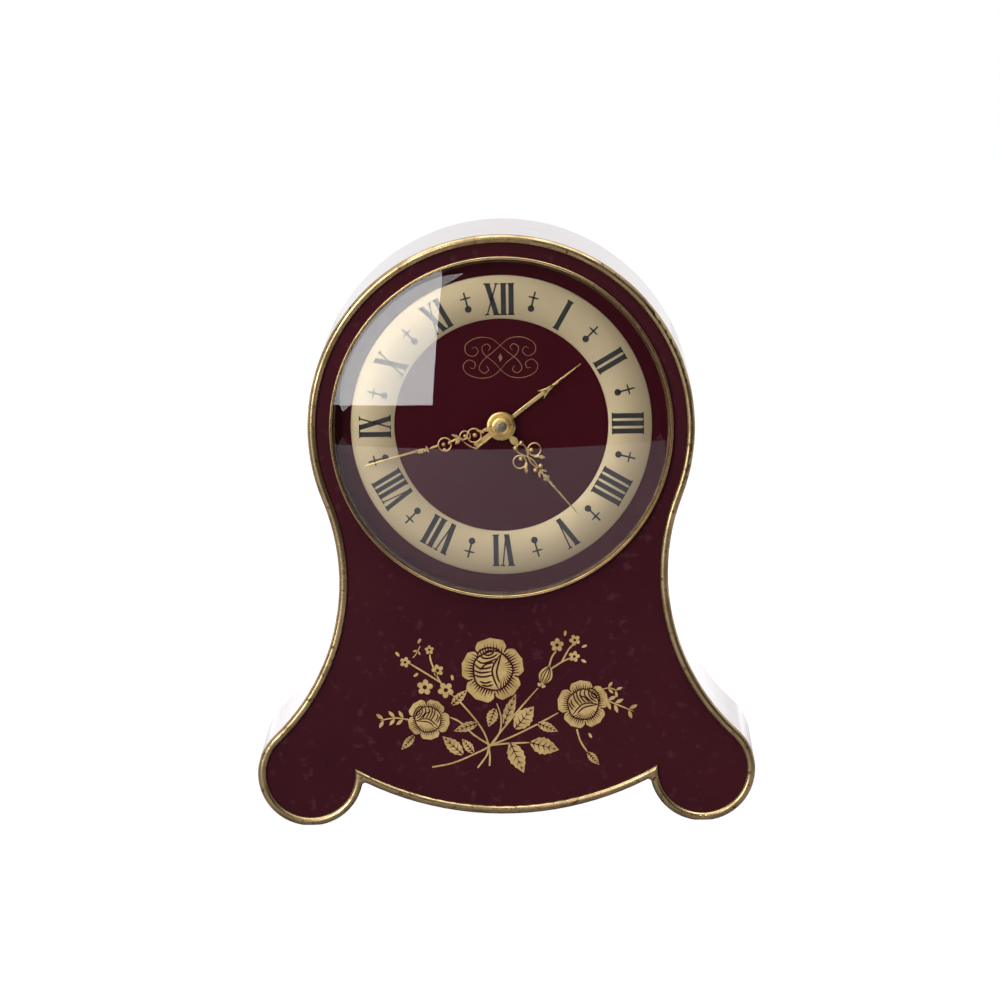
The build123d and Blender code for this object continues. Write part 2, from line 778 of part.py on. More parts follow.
def key_hub(place):
    """The boss of a winding key, with two ears and the pin that the wing folds about."""
    disc(key_hub_radius, hub_front, hub_back, place)
    with BuildSketch(dial(back_reach, place), mode=Mode.PRIVATE) as ears:
        with Locations((ear_inside + ear_width / 2, 0), (-ear_inside - ear_width / 2, 0)):
            Rectangle(ear_width, 2 * ear_reach)
    extrude(ears.sketch, amount=back_reach - hub_back)
    across(wing_pin, ear_inside + ear_width, place)
    disc(winding_radius, hub_front, hub_front + key_hub_height / 2, place, mode=Mode.SUBTRACT)


def key_wing(place):
    """The wing of a winding key, folded flat, with a finger hole."""
    tongue = ear_inside - wing_gap
    with BuildSketch(dial(wing_axis + wing_thickness / 2, place), mode=Mode.PRIVATE) as flap:
        with Locations((0, -ear_reach)):
            Rectangle(2 * tongue, 2 * ear_reach + wing_thickness)
        with Locations((0, -(wing_reach + wing_shoulder) / 2)):
            RectangleRounded(wing_width, wing_reach - wing_shoulder, wing_corner)
            SlotOverall(*finger_slot, mode=Mode.SUBTRACT)
    extrude(flap.sketch, amount=wing_thickness)
    across(wing_pin + pivot_gap, tongue, place, mode=Mode.SUBTRACT)


with BuildPart() as time_winding_arbor:
    winding_arbor(barrel_place)

with BuildPart() as alarm_winding_arbor:
    winding_arbor(alarm_barrel_place)

with BuildPart() as time_ratchet:
    ratchet(barrel_place)

with BuildPart() as alarm_ratchet:
    ratchet(alarm_barrel_place)

with BuildPart() as time_click:
    click(barrel_place, click_places[0])

with BuildPart() as alarm_click:
    click(alarm_barrel_place, click_places[1])

with BuildPart() as time_key_hub:
    key_hub(barrel_place)

with BuildPart() as alarm_key_hub:
    key_hub(alarm_barrel_place)

with BuildPart() as time_key_wing:
    key_wing(barrel_place)

with BuildPart() as alarm_key_wing:
    key_wing(alarm_barrel_place)

# Alarm: the escape wheel that rocks the hammer, and the rod gong it strikes
with BuildPart() as alarm_escape_wheel:
    disc(train_arbor_radius, front_plate_front, back_plate_back, alarm_escape_place)
    gear(alarm_pinion_teeth, barrel_module, *barrel_pinion, alarm_escape_place, alarm_escape_turn)
    pointed_wheel(escape_teeth, escape_radius, escape_tooth, alarm_escape_front,
                  alarm_escape_front + wheel_thickness, alarm_escape_place, 0)

hammer_place = beside(verge_place, hammer_arm, hammer_angle)
with BuildPart() as alarm_hammer:
    disc(train_arbor_radius, front_plate_front, hammer_front + wheel_thickness, verge_place)
    disc(verge_radius, alarm_escape_front, alarm_escape_front + wheel_thickness, verge_place)
    with BuildSketch(dial(hammer_front + wheel_thickness, verge_place, hammer_angle)):
        with Locations((hammer_arm / 2, 0)):
            SlotCenterToCenter(hammer_arm, 2 * train_arbor_radius + pipe_wall)
    extrude(amount=wheel_thickness)
    disc(hammer_head_radius, hammer_front, hammer_front + hammer_head_height, hammer_place)

with BuildPart() as gong:
    with BuildLine(dial(gong_depth)) as gong_line:
        CenterArc((0, 0), gong_ring, gong_start, gong_sweep)
    with BuildSketch(Plane(gong_line.line @ 0, z_dir=gong_line.line % 0)):
        Circle(gong_rod)
    sweep()

with BuildPart() as gong_mount:
    with BuildSketch(dial(gong_depth + gong_block / 2, centre, gong_start)):
        with Locations((gong_ring, -gong_block / 2)):
            Rectangle(gong_block, gong_block)
    extrude(amount=gong_depth + gong_block / 2 - back_plate_back)

# Regulator: a lever about the balance, with a pin through a slot in the cover
pin_place = beside(balance_place, regulator_reach, regulator_angle)
with BuildPart() as regulator_lever:
    with BuildSketch(dial(ratchet_front + wheel_thickness, balance_place, regulator_angle)):
        with Locations((regulator_reach / 2, 0)):
            SlotCenterToCenter(regulator_reach, 2 * regulator_pin + pipe_wall)
        Circle(regulator_ring)
        Circle(regulator_boss + pivot_gap, mode=Mode.SUBTRACT)
    extrude(amount=wheel_thickness)
    disc(regulator_pin, ratchet_front, cover_back + regulator_proud, pin_place)

# Alarm stop: a button on a plate that slides behind a slot in the cover
with BuildPart() as stop_slide:
    with BuildSketch(dial(cover_depth - cover_gap, stop_place)):
        RectangleRounded(stop_plate_width + stop_travel, stop_plate_width, screw_radius)
    extrude(amount=stop_plate_thickness)
    disc(stop_button, cover_depth - cover_gap, cover_back + stop_proud, stop_place)

# Back cover, its bosses in the corners of the case and its screws
with BuildPart() as back_cover:
    with BuildSketch(front(cover_back)):
        add(cover_face)
        with Locations((0, sound_slot_z)):
            with GridLocations(0, sound_slot_pitch, 1, sound_slots):
                SlotOverall(sound_slot_length, sound_slot_width, mode=Mode.SUBTRACT)
    extrude(amount=cover_thickness)
    for place in boss_places:
        disc(screw_radius + cover_gap, cover_depth, cover_back, place, mode=Mode.SUBTRACT)
    for place in winding_places:
        disc(winding_radius + cover_hole_gap, cover_depth, cover_back, place, mode=Mode.SUBTRACT)
    for place in (minute_place, set_place):
        disc(arbor_radius + cover_hole_gap, cover_depth, cover_back, place, mode=Mode.SUBTRACT)
    pin_swing = 2 * regulator_reach * sin(radians(regulator_sweep))
    pin_middle = regulator_reach * (1 + cos(radians(regulator_sweep))) / 2
    with BuildSketch(dial(cover_back, balance_place, regulator_angle)):
        with Locations((pin_middle, 0)):
            SlotCenterToCenter(pin_swing, 2 * (regulator_pin + cover_hole_gap), rotation=90)
    extrude(amount=cover_thickness, mode=Mode.SUBTRACT)
    with BuildSketch(dial(cover_back, stop_place)):
        with Locations((stop_travel / 2, 0)):
            SlotCenterToCenter(stop_travel, 2 * (stop_button + cover_gap))
    extrude(amount=cover_thickness, mode=Mode.SUBTRACT)

with BuildPart() as cover_bosses:
    for place in boss_places:
        disc(boss_radius, cover_depth - boss_length, cover_depth, place)
        disc(screw_radius, cover_depth - tap_depth, cover_depth, place, mode=Mode.SUBTRACT)

with BuildPart() as cover_screws:
    for place in boss_places:
        disc(screw_radius, cover_depth - tap_depth, cover_back, place)
        disc(screw_head_radius, cover_back, cover_back + screw_head, place)
        with Locations(dial(cover_back + screw_head, place)):
            Box(2 * screw_head_radius, screw_slot, screw_head, mode=Mode.SUBTRACT)

# The cage: posts on the front panel, two plates, their pillars and screws
arbor_holes = [
    (third_place, train_arbor_radius), (fourth_place, train_arbor_radius),
    (escape_place, train_arbor_radius), (pallet_place, train_arbor_radius),
    (balance_place, train_arbor_radius), (alarm_escape_place, train_arbor_radius),
    (verge_place, train_arbor_radius), (centre, centre_arbor_radius),
    (barrel_place, winding_radius), (alarm_barrel_place, winding_radius),
    (minute_place, arbor_radius), (set_place, arbor_radius),
]
with BuildPart() as case_posts:
    for place in post_places:
        disc(post_radius, panel_thickness, front_plate_front, place)
        disc(tap_radius, front_plate_front - tap_depth, front_plate_front, place, mode=Mode.SUBTRACT)

with BuildPart() as post_screws:
    for place in post_places:
        disc(tap_radius, front_plate_front - tap_depth, front_plate_back, place)
        disc(small_head_radius, front_plate_back, front_plate_back + small_head, place)

with BuildPart() as front_plate:
    with BuildSketch(dial(front_plate_back)):
        Circle(plate_radius)
        with PolarLocations(post_ring / 2, 4, post_angle):
            Rectangle(post_ring, arm_width)
        with PolarLocations(post_ring, 4, post_angle):
            Circle(post_radius)
    extrude(amount=plate_thickness)
    for place in post_places + pillar_places:
        disc(tap_radius, front_plate_front, front_plate_back, place, mode=Mode.SUBTRACT)
    for place in dial_feet:
        disc(dial_foot_radius, front_plate_front, front_plate_back, place, mode=Mode.SUBTRACT)
    for place, radius in arbor_holes:
        disc(radius + pivot_gap, front_plate_front, front_plate_back, place, mode=Mode.SUBTRACT)

with BuildPart() as back_plate:
    disc(plate_radius, back_plate_front, back_plate_back)
    disc(regulator_boss, back_plate_back, ratchet_front + wheel_thickness, balance_place)
    for place in pillar_places:
        disc(tap_radius, back_plate_front, back_plate_back, place, mode=Mode.SUBTRACT)
    for place in click_places:
        disc(arbor_radius, back_plate_front, back_plate_back, place, mode=Mode.SUBTRACT)
    for place, radius in arbor_holes:
        disc(radius + pivot_gap, back_plate_front, back_plate_back, place, mode=Mode.SUBTRACT)

with BuildPart() as plate_pillars:
    for place in pillar_places:
        disc(pillar_radius, front_plate_back, back_plate_front, place)
        disc(tap_radius, front_plate_front, front_plate_back, place)
        disc(tap_radius, back_plate_front - tap_depth, back_plate_front, place, mode=Mode.SUBTRACT)

with BuildPart() as pillar_screws:
    for place in pillar_places:
        disc(tap_radius, back_plate_front - tap_depth, back_plate_back, place)
        disc(small_head_radius, back_plate_back, back_plate_back + small_head, place)

with BuildPart() as click_screws:
    for place in click_places:
        disc(arbor_radius, back_plate_front, ratchet_front + ratchet_thickness + click_gap, place)
        disc(click_boss, ratchet_front + ratchet_thickness + click_gap,
             ratchet_front + ratchet_thickness + click_gap + small_head, place)

pieces = {
    "case_band": case_band, "front_rim": front_rim, "front_panel": front_panel,
    "dial_bezel": dial_bezel, "crystal": crystal, "dial_spacer": dial_spacer,
    "dial_plate": dial_plate, "chapter_ring": chapter_ring, "minute_hand": minute_hand,
    "hour_hand": hour_hand, "alarm_hand": alarm_hand, "hand_cap": hand_cap,
    "cannon_pinion": cannon_pinion, "hour_wheel": hour_wheel, "alarm_wheel": alarm_wheel,
    "minute_wheel": minute_wheel, "alarm_set_arbor": alarm_set_arbor,
    "hand_set_knob": hand_set_knob, "alarm_set_knob": alarm_set_knob,
    "centre_wheel": centre_wheel, "third_wheel": third_wheel, "fourth_wheel": fourth_wheel,
    "escape_wheel": escape_wheel, "time_barrel": time_barrel, "time_barrel_lid": time_barrel_lid,
    "time_mainspring": time_mainspring, "alarm_barrel": alarm_barrel,
    "alarm_barrel_lid": alarm_barrel_lid, "alarm_mainspring": alarm_mainspring,
    "pallet_lever": pallet_lever, "balance_wheel": balance_wheel, "hairspring": hairspring,
    "hairspring_stud": hairspring_stud, "time_winding_arbor": time_winding_arbor,
    "alarm_winding_arbor": alarm_winding_arbor, "time_ratchet": time_ratchet,
    "alarm_ratchet": alarm_ratchet, "time_click": time_click, "alarm_click": alarm_click,
    "time_key_hub": time_key_hub, "alarm_key_hub": alarm_key_hub,
    "time_key_wing": time_key_wing, "alarm_key_wing": alarm_key_wing,
    "alarm_escape_wheel": alarm_escape_wheel, "alarm_hammer": alarm_hammer, "gong": gong,
    "gong_mount": gong_mount, "regulator_lever": regulator_lever, "stop_slide": stop_slide,
    "back_cover": back_cover, "cover_bosses": cover_bosses, "cover_screws": cover_screws,
    "case_posts": case_posts, "post_screws": post_screws, "front_plate": front_plate,
    "back_plate": back_plate, "plate_pillars": plate_pillars, "pillar_screws": pillar_screws,
    "click_screws": click_screws,
}
os.makedirs("parts", exist_ok=True)
for label, piece in pieces.items():
    piece.part.label = label
    export_step(piece.part, f"parts/{label}.step")
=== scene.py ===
# %% [markdown]
# A wound alarm clock stands on a white table. The solids of the part are loaded first: they are the fixed
# frame that every new piece is built around, so all places below are taken from them.
# The dial looks along -Y. Depths count backwards from the front panel's face, and radii from the dial's
# centre, both in millimetres, because that is how a clockmaker would write them down.

# %% Load the frame and read its places
import json
from math import atan2, cos, degrees, hypot, pi, radians, sin, sqrt

import bpy
from mathutils import Matrix, Vector

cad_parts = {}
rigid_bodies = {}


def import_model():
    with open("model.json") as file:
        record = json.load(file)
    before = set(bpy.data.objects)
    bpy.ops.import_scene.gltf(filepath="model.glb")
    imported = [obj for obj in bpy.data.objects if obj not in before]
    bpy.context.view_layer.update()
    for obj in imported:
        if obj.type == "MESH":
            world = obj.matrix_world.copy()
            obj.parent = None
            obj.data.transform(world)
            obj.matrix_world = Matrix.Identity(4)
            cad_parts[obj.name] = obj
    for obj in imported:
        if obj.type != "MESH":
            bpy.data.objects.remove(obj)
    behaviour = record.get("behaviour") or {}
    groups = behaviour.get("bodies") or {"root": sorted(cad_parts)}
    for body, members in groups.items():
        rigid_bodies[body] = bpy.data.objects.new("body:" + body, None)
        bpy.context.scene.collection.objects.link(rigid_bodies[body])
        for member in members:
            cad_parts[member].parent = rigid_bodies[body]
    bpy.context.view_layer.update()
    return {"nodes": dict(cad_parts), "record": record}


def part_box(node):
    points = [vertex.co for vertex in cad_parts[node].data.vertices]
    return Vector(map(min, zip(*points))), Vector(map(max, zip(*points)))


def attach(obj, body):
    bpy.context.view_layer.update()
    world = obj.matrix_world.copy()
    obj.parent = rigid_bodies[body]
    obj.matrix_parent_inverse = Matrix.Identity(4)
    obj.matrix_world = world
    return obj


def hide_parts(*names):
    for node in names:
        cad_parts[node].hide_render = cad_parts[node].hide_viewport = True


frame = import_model()
nodes = frame["nodes"]
mm = 0.001
panel_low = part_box("front_panel")[0]
glass_low, glass_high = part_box("crystal")
ring_low, ring_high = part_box("chapter_ring")
face_y = panel_low.y
dial_z = (glass_low.z + glass_high.z) / 2
glass_radius = (glass_high.x - glass_low.x) / 2 / mm
ring_outer = (ring_high.x - ring_low.x) / 2 / mm
print("panel face", round(face_y / mm, 2), "dial centre", round(dial_z / mm, 2))
print("glass radius", round(glass_radius, 2), "chapter ring radius", round(ring_outer, 2))

# %% [markdown]
# Every operator acts on what is selected, and the loaded solids arrive selected. These helpers therefore
# clear the selection first. A line is drawn as by hand: one vertex, extruded from point to point. The line
# is then spun into a turned piece, filled into a flat one, or made a wire.

# %% Helpers that draw
def fresh():
    """Clears the selection, so that the next operator works on the new piece alone."""
    bpy.ops.object.select_all(action="DESELECT")


def only(piece):
    """Selects one piece alone and makes it the active one."""
    fresh()
    piece.select_set(True)
    bpy.context.view_layer.objects.active = piece


def edit_all():
    """Goes into edit mode with the whole mesh selected."""
    bpy.ops.object.mode_set(mode="EDIT")
    bpy.ops.mesh.select_all(action="SELECT")


def at(x, depth, z):
    """A point from millimetres: across, behind the panel's face, above the dial's centre."""
    return Vector((x * mm, face_y + depth * mm, dial_z + z * mm))


def drawn(points, name="line"):
    """A line drawn by extruding one vertex from point to point."""
    fresh()
    bpy.ops.mesh.primitive_plane_add(size=mm, location=points[0])
    line = bpy.context.active_object
    line.name = name
    bpy.ops.object.mode_set(mode="EDIT")
    bpy.ops.mesh.merge(type="CENTER")
    for here, there in zip(points, points[1:]):
        bpy.ops.mesh.extrude_region_move(TRANSFORM_OT_translate={"value": Vector(there) - Vector(here)})
    bpy.ops.object.mode_set(mode="OBJECT")
    bpy.ops.object.transform_apply(location=True, rotation=True, scale=True)
    return line


def closed_up(piece, smooth=35):
    """Merges doubles, turns the faces outwards and smooths what is rounder than an edge."""
    only(piece)
    edit_all()
    bpy.ops.mesh.remove_doubles(threshold=0.002 * mm)
    bpy.ops.mesh.normals_make_consistent(inside=False)
    bpy.ops.object.mode_set(mode="OBJECT")
    bpy.ops.object.shade_smooth_by_angle(angle=radians(smooth))
    return piece


def turned(name, section, steps=160, smooth=35):
    """A turned piece: its closed half section in radius and depth, spun about the dial's axis."""
    loop = [*section, section[0]] if section[0][0] > 0 or section[-1][0] > 0 else section
    piece = drawn([at(radius, depth, 0) for radius, depth in loop], name)
    edit_all()
    bpy.ops.mesh.spin(steps=steps, angle=2 * pi, center=at(0, 0, 0), axis=(0, 1, 0))
    bpy.ops.object.mode_set(mode="OBJECT")
    return closed_up(piece, smooth)


def filled(name, outline, depth, thickness, smooth=35):
    """A flat piece: an outline of (across, up) filled and extruded towards the viewer."""
    piece = drawn([at(x, depth, z) for x, z in outline], name)
    edit_all()
    bpy.ops.mesh.edge_face_add()
    bpy.ops.mesh.extrude_region_move(TRANSFORM_OT_translate={"value": (0, -thickness * mm, 0)})
    bpy.ops.object.mode_set(mode="OBJECT")
    return closed_up(piece, smooth)


def wire(name, path, radius, depth, ends=(1.0, 1.0)):
    """A round wire along a path of (across, up), thinner towards its ends where asked."""
    piece = drawn([at(x, depth, z) for x, z in path], name)
    bpy.ops.object.convert(target="CURVE")
    curve = piece.data
    curve.bevel_depth = radius * mm
    curve.bevel_resolution = 2
    curve.use_fill_caps = True
    last = max(len(path) - 1, 1)
    for spline in curve.splines:
        for count, point in enumerate(spline.points):
            share = count / last
            point.radius = ends[0] + (1 - ends[0]) * min(1, 4 * share)
            point.radius *= ends[1] + (1 - ends[1]) * min(1, 4 * (1 - share))
    bpy.ops.object.convert(target="MESH")
    return closed_up(bpy.context.active_object, 60)


def pearl(x, z, radius, depth):
    """A small ball, as punched on an openwork hand."""
    fresh()
    place = at(x, depth, z)
    bpy.ops.mesh.primitive_uv_sphere_add(segments=16, ring_count=10, radius=radius * mm, location=place)
    ball = bpy.context.active_object
    ball.name = "pearl"
    ball.scale = (1, 0.8, 1)
    bpy.ops.object.transform_apply(location=True, rotation=True, scale=True)
    return closed_up(ball, 60)


def joined(name, parts):
    """Several parts made one piece."""
    fresh()
    for part in parts:
        part.select_set(True)
    bpy.context.view_layer.objects.active = parts[0]
    bpy.ops.object.join()
    piece = bpy.context.active_object
    piece.name = name
    piece.data.name = name
    return piece


def swung(piece, angle):
    """Turns a piece clockwise about the dial's centre and leaves its object at the origin."""
    only(piece)
    centre = Matrix.Translation(at(0, 0, 0))
    piece.matrix_world = centre @ Matrix.Rotation(radians(angle), 4, "Y") @ centre.inverted()
    bpy.ops.object.transform_apply(location=True, rotation=True, scale=True)
    return piece


def copied(piece, angle):
    """A copy with its own mesh, turned clockwise about the dial's centre."""
    only(piece)
    bpy.ops.object.duplicate(linked=False)
    return swung(bpy.context.active_object, angle)


def arc(centre, radius, start, sweep, steps=16):
    """Points round a centre, angles from straight across and anticlockwise."""
    turns = [radians(start + sweep * k / steps) for k in range(steps + 1)]
    return [(centre[0] + radius * cos(a), centre[1] + radius * sin(a)) for a in turns]


def bow(start, end, bulge, steps=8):
    """Points of a shallow curve from start to end that bulges to the left by a share of its length."""
    dx, dz = end[0] - start[0], end[1] - start[1]
    rises = [(k / steps, 4 * bulge * k / steps * (1 - k / steps)) for k in range(steps + 1)]
    return [(start[0] + s * dx - h * dz, start[1] + s * dz + h * dx) for s, h in rises]


def smooth_path(points, steps=6):
    """A flowing line through a few points, as a spline that passes through each of them."""
    ends = [points[0], *points, points[-1]]

    def between(t, p, q, r, s):
        bend, twist = 2 * p - 5 * q + 4 * r - s, 3 * q - p - 3 * r + s
        return 0.5 * (2 * q + (r - p) * t + bend * t**2 + twist * t**3)

    path = []
    for four in zip(ends, ends[1:], ends[2:], ends[3:]):
        path += [tuple(between(k / steps, *along) for along in zip(*four)) for k in range(steps)]
    return path + [points[-1]]


def ribbon(path, width, start=1.0, end=1.0):
    """The outline of a flat strap along a path, as wide as asked in the middle and tapered to its ends."""
    left, right = [], []
    for count, (x, z) in enumerate(path):
        back, ahead = path[max(count - 1, 0)], path[min(count + 1, len(path) - 1)]
        dx, dz = ahead[0] - back[0], ahead[1] - back[1]
        length = hypot(dx, dz) or 1
        share = count / (len(path) - 1)
        taper = min(1, start + 3 * share) * min(1, end + 3 * (1 - share))
        half = width * taper / 2
        left.append((x - dz / length * half, z + dx / length * half))
        right.append((x + dz / length * half, z - dx / length * half))
    return left + right[::-1]


print("helpers ready")

# %% [markdown]
# Finishes come next. Real surfaces are never even, so one shared effect makes the unevenness: soft
# blotches from handling, fine specks of dust or tarnish, and a height for a slight ripple. It is built once
# as a node group and placed in each material with its own scale.

# %% Helpers for node trees
def node(tree, kind, **values):
    """A shader node with plain values on its sockets, whose names are written with underscores."""
    made = tree.nodes.new(f"ShaderNode{kind}")
    for socket, value in values.items():
        made.inputs[socket.replace("_", " ")].default_value = value
    return made


def linked(tree, *pairs):
    """Joins each output to its input."""
    for source, target in pairs:
        tree.links.new(source, target)


def add_socket(group, name, direction, value=None):
    """A number socket on a node group, with its starting value."""
    socket = group.interface.new_socket(name=name, in_out=direction, socket_type="NodeSocketFloat")
    if value is not None:
        socket.default_value = value


# %% The shared handling effect
handling = bpy.data.node_groups.new("handling", "ShaderNodeTree")
add_socket(handling, "Blotch Scale", "INPUT", 60.0)
add_socket(handling, "Speck Scale", "INPUT", 900.0)
for socket_name in ("Blotches", "Specks", "Ripple"):
    add_socket(handling, socket_name, "OUTPUT")
group_in = handling.nodes.new("NodeGroupInput")
group_out = handling.nodes.new("NodeGroupOutput")
coordinates = node(handling, "TexCoord")
blotch_noise = node(handling, "TexNoise", Detail=6.0, Roughness=0.62)
speck_noise = node(handling, "TexNoise", Detail=3.0)
speck_range = node(handling, "MapRange", From_Min=0.60, From_Max=0.72)
blotch_range = node(handling, "MapRange", From_Min=0.35, From_Max=0.65)
linked(
    handling,
    (coordinates.outputs["Object"], blotch_noise.inputs["Vector"]),
    (coordinates.outputs["Object"], speck_noise.inputs["Vector"]),
    (group_in.outputs["Blotch Scale"], blotch_noise.inputs["Scale"]),
    (group_in.outputs["Speck Scale"], speck_noise.inputs["Scale"]),
    (blotch_noise.outputs["Fac"], blotch_range.inputs["Value"]),
    (speck_noise.outputs["Fac"], speck_range.inputs["Value"]),
    (blotch_range.outputs["Result"], group_out.inputs["Blotches"]),
    (speck_range.outputs["Result"], group_out.inputs["Specks"]),
    (blotch_noise.outputs["Fac"], group_out.inputs["Ripple"]),
)
print("handling group", len(handling.nodes), "nodes")

# %% Helpers for finishes
def finish(name, **plain):
    """A material with its Principled shader, plain values set on the shader's own sockets."""
    material = bpy.data.materials.new(name)
    material.use_nodes = True
    shader = material.node_tree.nodes["Principled BSDF"]
    for socket, value in plain.items():
        shader.inputs[socket.replace("_", " ")].default_value = value
    return material, material.node_tree, shader


def handled(tree, blotch_scale, speck_scale):
    """The handling effect placed in a material at its own scales."""
    effect = tree.nodes.new("ShaderNodeGroup")
    effect.node_tree = handling
    effect.inputs["Blotch Scale"].default_value = blotch_scale
    effect.inputs["Speck Scale"].default_value = speck_scale
    return effect


def blended(tree, mask, low, high):
    """A colour or value that runs from low to high with a mask."""
    if isinstance(low, (int, float)):
        ramp = node(tree, "MapRange", To_Min=low, To_Max=high)
        linked(tree, (mask, ramp.inputs["Value"]))
        return ramp.outputs["Result"]
    mix = node(tree, "Mix")
    mix.data_type = "RGBA"
    if isinstance(low, tuple):
        mix.inputs["A"].default_value = (*low, 1)
    else:
        linked(tree, (low, mix.inputs["A"]))
    mix.inputs["B"].default_value = (*high, 1)
    linked(tree, (mask, mix.inputs["Factor"]))
    return mix.outputs["Result"]


def rippled(tree, shader, height, strength, distance):
    """A slight ripple in the surface's normal."""
    bump = node(tree, "Bump", Strength=strength, Distance=distance * mm)
    linked(tree, (height, bump.inputs["Height"]), (bump.outputs["Normal"], shader.inputs["Normal"]))


def metal(name, bright, dull, rough, scales=(90, 1200), specks=None, ripple=0.15):
    """A metal with soft tarnish: bright and dull colours, a range of roughness, and specks where asked."""
    material, tree, shader = finish(name, Metallic=1.0)
    effect = handled(tree, *scales)
    colour = blended(tree, effect.outputs["Blotches"], dull, bright)
    if specks:
        colour = blended(tree, effect.outputs["Specks"], colour, specks)
    polish = blended(tree, effect.outputs["Blotches"], rough[1], rough[0])
    linked(tree, (colour, shader.inputs["Base Color"]), (polish, shader.inputs["Roughness"]))
    rippled(tree, shader, effect.outputs["Ripple"], ripple, 0.05)
    return material


def lacquer(name, deep, worn, haze, rough, scales):
    """A dull dark lacquer with a hazy, dusty surface."""
    material, tree, shader = finish(name, Coat_Weight=0.0, Coat_Roughness=0.12, Specular_IOR_Level=0.06)
    effect = handled(tree, *scales)
    colour = blended(tree, effect.outputs["Blotches"], deep, worn)
    colour = blended(tree, effect.outputs["Specks"], colour, haze)
    sheen = blended(tree, effect.outputs["Blotches"], *rough)
    linked(tree, (colour, shader.inputs["Base Color"]), (sheen, shader.inputs["Roughness"]))
    rippled(tree, shader, effect.outputs["Ripple"], 0.08, 0.03)
    return material


def ink(name, dark, light, scales, **plain):
    """A printing ink whose colour varies a little."""
    material, tree, shader = finish(name, **plain)
    effect = handled(tree, *scales)
    linked(tree, (blended(tree, effect.outputs["Blotches"], dark, light), shader.inputs["Base Color"]))
    return material, tree, shader, effect


print("finish helpers ready")

# %% [markdown]
# The case is pressed sheet under a burgundy lacquer. Its face is dull with age, so it shows almost no
# reflections, while the band round the side is still glossy and turns nearly white where the eye grazes it.
# The dial is a darker, cleaner disc of the same colour.

# %% Lacquers
panel_lacquer = lacquer(
    "panel lacquer", deep=(0.034, 0.0040, 0.0078), worn=(0.042, 0.0055, 0.0098),
    haze=(0.056, 0.0125, 0.018), rough=(0.40, 0.52), scales=(22, 420),
)
dial_lacquer = lacquer(
    "dial lacquer", deep=(0.042, 0.0010, 0.0050), worn=(0.047, 0.0013, 0.0058),
    haze=(0.050, 0.0020, 0.0070), rough=(0.45, 0.5), scales=(35, 1500),
)
band_lacquer, band_tree, band_shader = finish(
    "band lacquer", Coat_Weight=1.0, Coat_Roughness=0.05, Coat_IOR=1.9, IOR=1.7
)
band_effect = handled(band_tree, 45, 1100)
band_colour = blended(band_tree, band_effect.outputs["Blotches"], (0.10, 0.010, 0.022), (0.14, 0.02, 0.035))
rub_coordinates = node(band_tree, "TexCoord")
rub_map = node(band_tree, "Mapping", Scale=(60, 900, 60))
rub_noise = node(band_tree, "TexNoise", Scale=1.0, Detail=5.0)
rubbed = blended(band_tree, rub_noise.outputs["Fac"], 0.06, 0.30)
linked(
    band_tree,
    (band_colour, band_shader.inputs["Base Color"]),
    (rub_coordinates.outputs["Object"], rub_map.inputs["Vector"]),
    (rub_map.outputs["Vector"], rub_noise.inputs["Vector"]),
    (rubbed, band_shader.inputs["Roughness"]),
)
rippled(band_tree, band_shader, rub_noise.outputs["Fac"], 0.10, 0.02)
print("lacquers", panel_lacquer.name, dial_lacquer.name, band_lacquer.name)

# %% [markdown]
# The metal pieces are brass of several ages: a rubbed and speckled rim, a clean bezel, gilt hands, and a
# pale gold chapter ring that was brushed on a lathe. The brushing is a fine noise read along the radius
# alone, so its lines run round the dial. The cap at the centre is a much darker metal, and the bezel's
# inner wall gets a dark metal that is painted shade.

# %% Metals
rim_brass = metal(
    "rim brass", (0.52, 0.38, 0.20), (0.26, 0.185, 0.09), (0.2, 0.38), (170, 700),
    specks=(0.12, 0.07, 0.03), ripple=0.2,
)
bezel_brass = metal("bezel brass", (0.60, 0.43, 0.21), (0.36, 0.25, 0.12), (0.2, 0.36), (140, 1600))
# This dark metal is painted shade for the bezel's inner wall, not a colour of the brass.
bezel_painted_shade = metal("bezel painted shade", (0.12, 0.075, 0.035), (0.06, 0.035, 0.02), (0.4, 0.55), (200, 1600))
gilt = metal("gilt", (0.96, 0.72, 0.32), (0.80, 0.55, 0.20), (0.22, 0.38), (300, 2000))
steel = metal("steel", (0.62, 0.61, 0.59), (0.42, 0.41, 0.39), (0.22, 0.42), (300, 1500))
cap_metal = metal("cap metal", (0.36, 0.30, 0.21), (0.16, 0.13, 0.09), (0.36, 0.5), (700, 2400))
cover_brass = metal("cover brass", (0.46, 0.35, 0.18), (0.36, 0.27, 0.13), (0.36, 0.5), (45, 500))
key_brass = metal("key brass", (0.92, 0.72, 0.36), (0.74, 0.54, 0.25), (0.14, 0.28), (200, 1400))
movement_brass = metal("movement brass", (0.76, 0.58, 0.29), (0.66, 0.48, 0.22), (0.26, 0.4), (120, 1200))
blue_steel = metal("blue steel", (0.07, 0.12, 0.34), (0.05, 0.08, 0.22), (0.2, 0.32), (200, 1200))

